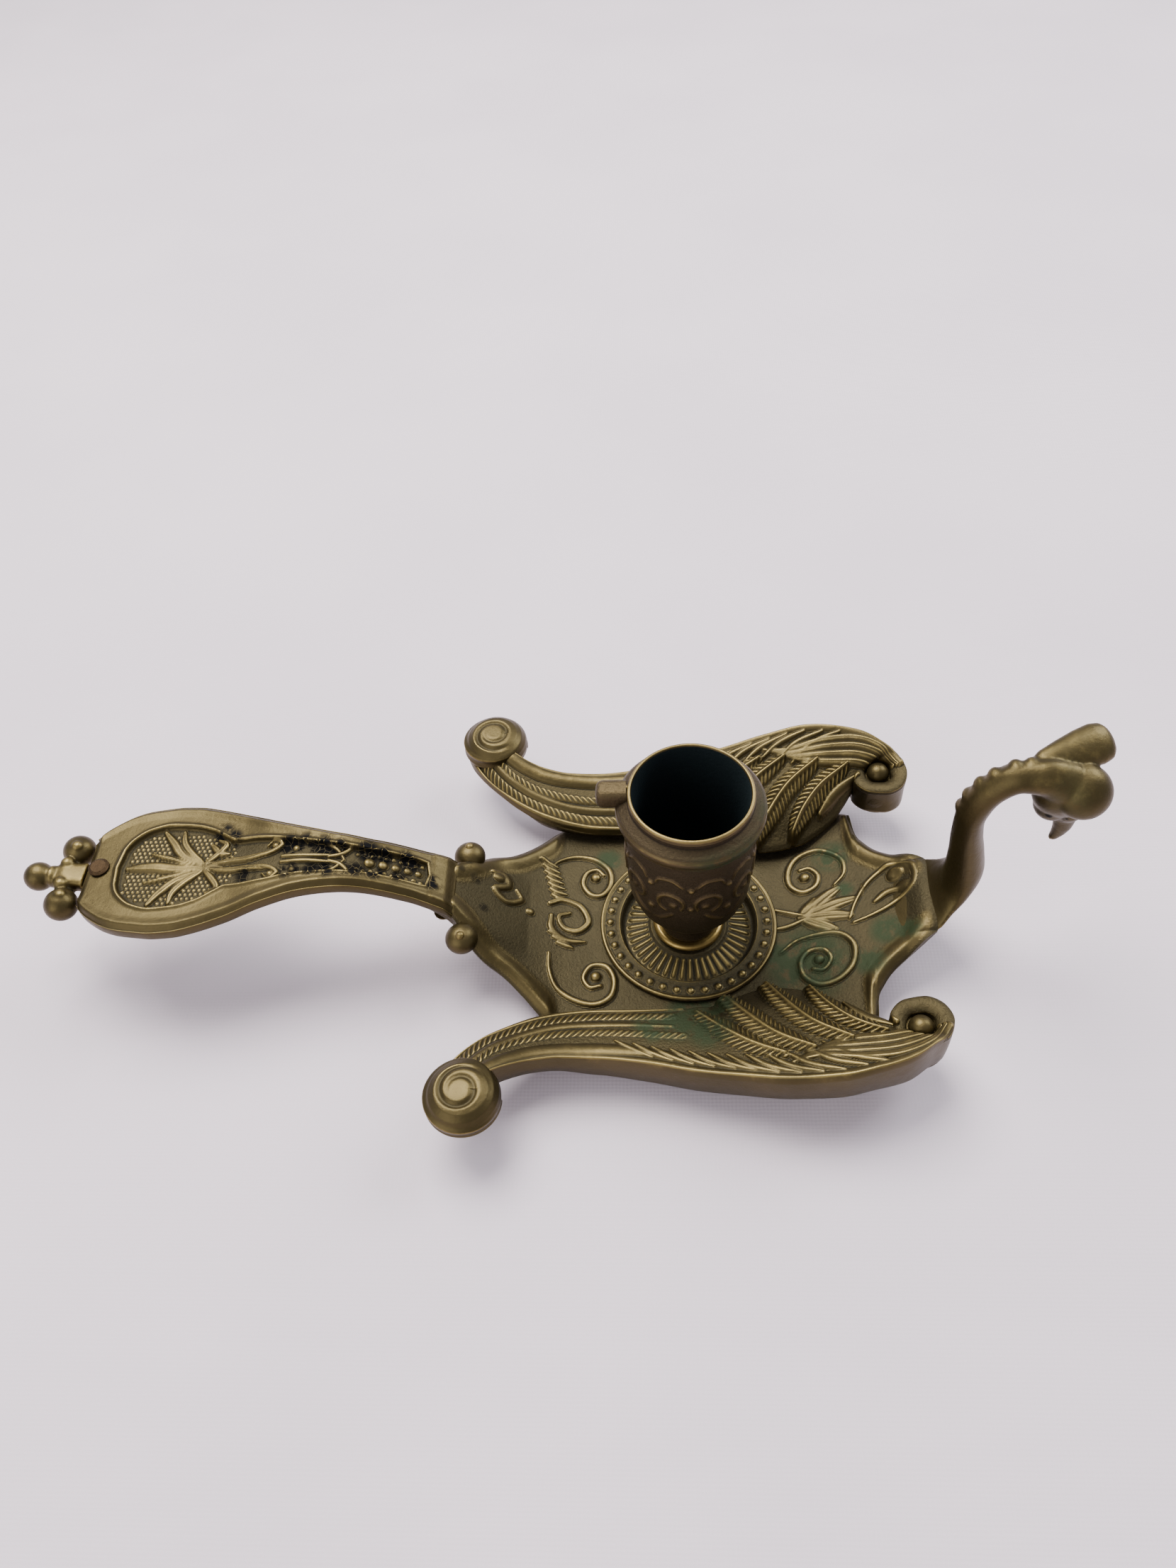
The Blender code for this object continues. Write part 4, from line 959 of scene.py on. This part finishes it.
def skin(work, rings):
    """Adds a closed solid through rings of points."""
    rows = [[work.verts.new(Vector(p) * MM) for p in ring] for ring in rings]
    for a, b in zip(rows, rows[1:]):
        for k in range(len(a)):
            n = (k + 1) % len(a)
            work.faces.new((a[k], a[n], b[n], b[k]))
    work.faces.new(list(reversed(rows[0])))
    work.faces.new(rows[-1])


def remeshed(name, work, voxel, metal, body, slot, rub, *nodes):
    """The overlapping solids of a bmesh melted into one skin; rub gives its relief, green and black."""
    bmesh.ops.recalc_face_normals(work, faces=work.faces)
    mesh = bpy.data.meshes.new(name)
    work.to_mesh(mesh)
    work.free()
    rough = add_object(name + "_rough", mesh)
    melt = rough.modifiers.new("melt", "REMESH")
    melt.mode = "VOXEL"
    melt.voxel_size = voxel * MM
    soften = rough.modifiers.new("soften", "SMOOTH")
    soften.iterations = 7
    soften.factor = 0.5
    bpy.context.view_layer.update()
    done = bpy.data.meshes.new_from_object(rough.evaluated_get(bpy.context.evaluated_depsgraph_get()))
    bpy.data.objects.remove(rough)
    done.name = name
    xyz = np.empty(len(done.vertices) * 3)
    done.vertices.foreach_get("co", xyz)
    store(done, rub(*(xyz.reshape(-1, 3) / MM).T))
    done.shade_smooth()
    return place(name, done, metal, body, slot, *nodes)


def neck_spine(u):
    """The neck's x, z, thickness and width at the station u."""
    k = np.arange(len(NECK_STATIONS))
    rows = [(x, z, thick, wide) for (x, z), thick, wide in NECK_STATIONS]
    return [curve(tuple(zip(k.tolist(), (r[j] for r in rows))), u) for j in range(4)]


def griffin_piece(metal):
    work = bmesh.new()
    u = np.linspace(0, len(NECK_STATIONS) - 1, 80)
    x, z, thick, wide = neck_spine(u)
    rings = []
    for k in range(len(u)):
        a, b = max(k - 1, 0), min(k + 1, len(u) - 1)
        along = Vector((x[b] - x[a], 0.0, z[b] - z[a])).normalized()
        normal = Vector((-along.z, 0.0, along.x))
        ring = []
        for t in around(28):
            across, deep = math.cos(t), math.sin(t)
            keel = 1.0 - 0.22 * abs(across) ** 1.5 * (0.6 if deep < 0 else 1.0)
            spot = Vector((x[k], 0.0, z[k])) + normal * (thick[k] * deep * keel)
            ring.append(spot + Vector((0.0, wide[k] * across, 0.0)))
        rings.append(ring)
    skin(work, rings)
    for k in range(6):
        w = 8.35 + 0.62 * k
        mx, mz, mt, mw = [v[0] for v in neck_spine(np.array([w]))]
        ax, az = [v[0] for v in neck_spine(np.array([w + 0.2]))][:2]
        along = Vector((ax - mx, 0.0, az - mz)).normalized()
        back = Vector((-along.z, 0.0, along.x))
        spot = Vector((mx, 0.25 * mw, mz)) + back * (mt * 0.64)
        lie = along.to_track_quat("X", "Z").to_matrix().to_4x4()
        blob(work, spot, (1.5, 1.9, 1.3), lie)
    blob(work, (66.8, 0.0, 47.2), (5.6, 4.6, 5.8))
    blob(work, (69.4, -1.6, 48.6), (5.3, 5.2, 3.9), Matrix.Rotation(0.68, 4, "X"))
    blob(work, (65.8, 0.0, 43.4), (3.5, 3.3, 3.5))
    blob(work, (68.8, 0.0, 42.6), (3.0, 3.2, 3.4))
    rings = []
    for bx, bz, radius in ((68.6, 42.0, 2.7), (69.1, 38.8, 2.1), (69.2, 36.4, 1.8), (68.9, 34.4, 1.35),
                           (68.3, 32.9, 0.95), (68.0, 32.4, 0.4)):
        rings.append([Vector((bx + radius * math.cos(t), 0.8 * radius * math.sin(t), bz))
                      for t in around(18)])
    skin(work, rings)
    root, tip = Vector((60.6, 1.4, 52.4)), Vector((75.4, 7.2, 52.6))
    flat = (tip - root).cross(Vector((0.0, -0.45, 0.9))).normalized()
    thick = flat.cross(tip - root).normalized()
    rings = []
    for along, half, thin in ((0.0, 1.2, 1.0), (0.12, 2.2, 1.7), (0.35, 3.0, 2.1), (0.6, 3.7, 2.3),
                              (0.8, 4.0, 2.3), (0.92, 3.6, 2.0), (0.98, 2.6, 1.4), (1.0, 1.2, 0.6)):
        middle = root.lerp(tip, along)
        rings.append([middle + flat * (half * math.cos(t)) + thick * (thin * math.sin(t))
                      for t in around(28)])
    skin(work, rings)

    def rub(px, py, pz):
        worn = 0.3 + 0.35 * smooth(40.0, 54.0, pz) + 0.1 * smooth(22.0, 14.0, pz)
        pits = spots(px, pz, ((64.4, 43.4, 0.7), (67.4, 42.2, 0.8), (71.0, 46.0, 0.6)))
        return worn, 0.25 * spots(px, pz, ((66.0, 50.0, 4.0),)), pits

    return remeshed("griffin_casting", work, 0.34, metal, "stand", "aged_brass", rub, "griffin_neck")


def finial_piece(metal):
    work = bmesh.new()
    rings = []
    for x, wide, z, high in ((-116.0, 2.6, 21.7, 1.3), (-122.3, 2.6, 21.5, 1.3), (-122.8, 3.0, 21.6, 3.6),
                             (-127.0, 2.6, 21.8, 4.0), (-131.6, 1.8, 22.4, 2.6)):
        rings.append([(x, wide * math.copysign(abs(math.cos(t)) ** 0.6, math.cos(t)),
                       z + 0.5 * high * (1 + math.copysign(abs(math.sin(t)) ** 0.6, math.sin(t))))
                      for t in around(24)])
    skin(work, rings)
    blob(work, (-132.6, 0.0, 24.0), (3.05, 3.0, 3.0))
    blob(work, (-129.6, 0.0, 24.0), (1.3, 2.3, 2.2))
    for side in (1, -1):
        blob(work, (-126.2, side * 6.6, 23.5), (3.4, 3.35, 3.3))
        blob(work, (-126.6, side * 3.0, 23.0), (1.8, 3.0, 1.7))
        blob(work, (-127.0, side * 2.5, 24.9), (1.5, 1.5, 1.4))
        blob(work, (-125.6, side * 6.0, 26.2), (1.3, 1.2, 1.0))

    def rub(px, py, pz):
        clean = np.zeros_like(px)
        return 0.3 + 0.5 * smooth(22.0, 27.0, pz), clean, clean

    return remeshed("finial_casting", work, 0.27, metal, "stand", "aged_brass", rub, "finial")


def cloth():
    """A pale woven table cover."""
    material, tree, shader, where = new_material("table_cloth")
    tint = blend(tree, ramp(tree, noise(tree, where, 9.0, 3.0), 0.35, 0.65), CLOTH_LIGHT, CLOTH_DARK)
    tree.links.new(tint, shader.inputs["Base Color"])
    put(shader, {"Roughness": 0.9})
    threads = []
    for direction in ("X", "Y"):
        wave = node(tree, "ShaderNodeTexWave", bands_direction=direction)
        put(wave, {"Scale": 420.0, "Distortion": 1.2})
        tree.links.new(where, wave.inputs["Vector"])
        threads.append(wave.outputs["Fac"])
    add_bump(tree, shader, plus(tree, *threads), 0.1, 0.2 * MM)
    return material


def stage():
    work = bmesh.new()
    bmesh.ops.create_grid(work, x_segments=2, y_segments=2, size=2.5)
    mesh = bpy.data.meshes.new("table")
    work.to_mesh(mesh)
    work.free()
    mesh.materials.append(cloth())
    table = add_object("table", mesh)
    table.location.z = -FLOOR_DROP * MM
    world = bpy.data.worlds.new("studio")
    world.use_nodes = True
    put(world.node_tree.nodes["Background"], {"Color": (0.88, 0.87, 0.93, 1.0), "Strength": 0.8})
    bpy.context.scene.world = world
    for name, spot, size, power, tint in LAMPS:
        lamp = bpy.data.lights.new(name, "AREA")
        lamp.size = size
        lamp.energy = power
        lamp.color = tint
        light = add_object(name, lamp)
        light.location = spot
        light.rotation_euler = (-Vector(spot)).to_track_quat("-Z", "Y").to_euler()
    camera = bpy.data.cameras.new("camera")
    camera.sensor_fit = "VERTICAL"
    camera.sensor_height = 36.0
    camera.lens = CAMERA_LENS
    camera.clip_start = 0.01
    eye = add_object("camera", camera)
    eye.location = CAMERA_SPOT
    eye.rotation_euler = Euler([math.radians(v) for v in CAMERA_DEGREES])
    bpy.context.scene.camera = eye


def main():
    for thing in list(bpy.data.objects):
        bpy.data.objects.remove(thing, do_unlink=True)
    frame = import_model()
    stage()
    aged = brass("aged_brass_metal", AGED, 0.35)
    brown = brass("brown_brass_metal", BROWN, 0.37)
    bright = brass("bright_brass_metal", BRIGHT, 0.26, 0.06)
    copper = brass("copper_metal", COPPER, 0.36)
    dark = brass("cup_soot", SOOT, 0.5, 0.2)
    for name, thing in frame["nodes"].items():
        metal = aged
        if name == "finial_rivet":
            metal = copper
        elif name in ("cup_stud", "neck_dowel") or "_rivet" in name:
            metal = bright
        thing.data.materials.clear()
        thing.data.materials.append(metal)
    tray_piece(aged)
    dish_piece(aged)
    collar_piece(bright)
    cup_piece(brown, dark)
    wing_piece("wing_left", 1, aged, ((14.0, 26.0, 3.0),))
    wing_piece("wing_right", -1, aged, ((-3.0, -25.0, 6.0), (3.0, -28.0, 5.0), (-8.0, -27.0, 4.0),
                                        (5.0, -22.0, 4.0)))
    handle_piece(aged)
    griffin_piece(aged)
    finial_piece(aged)


main()
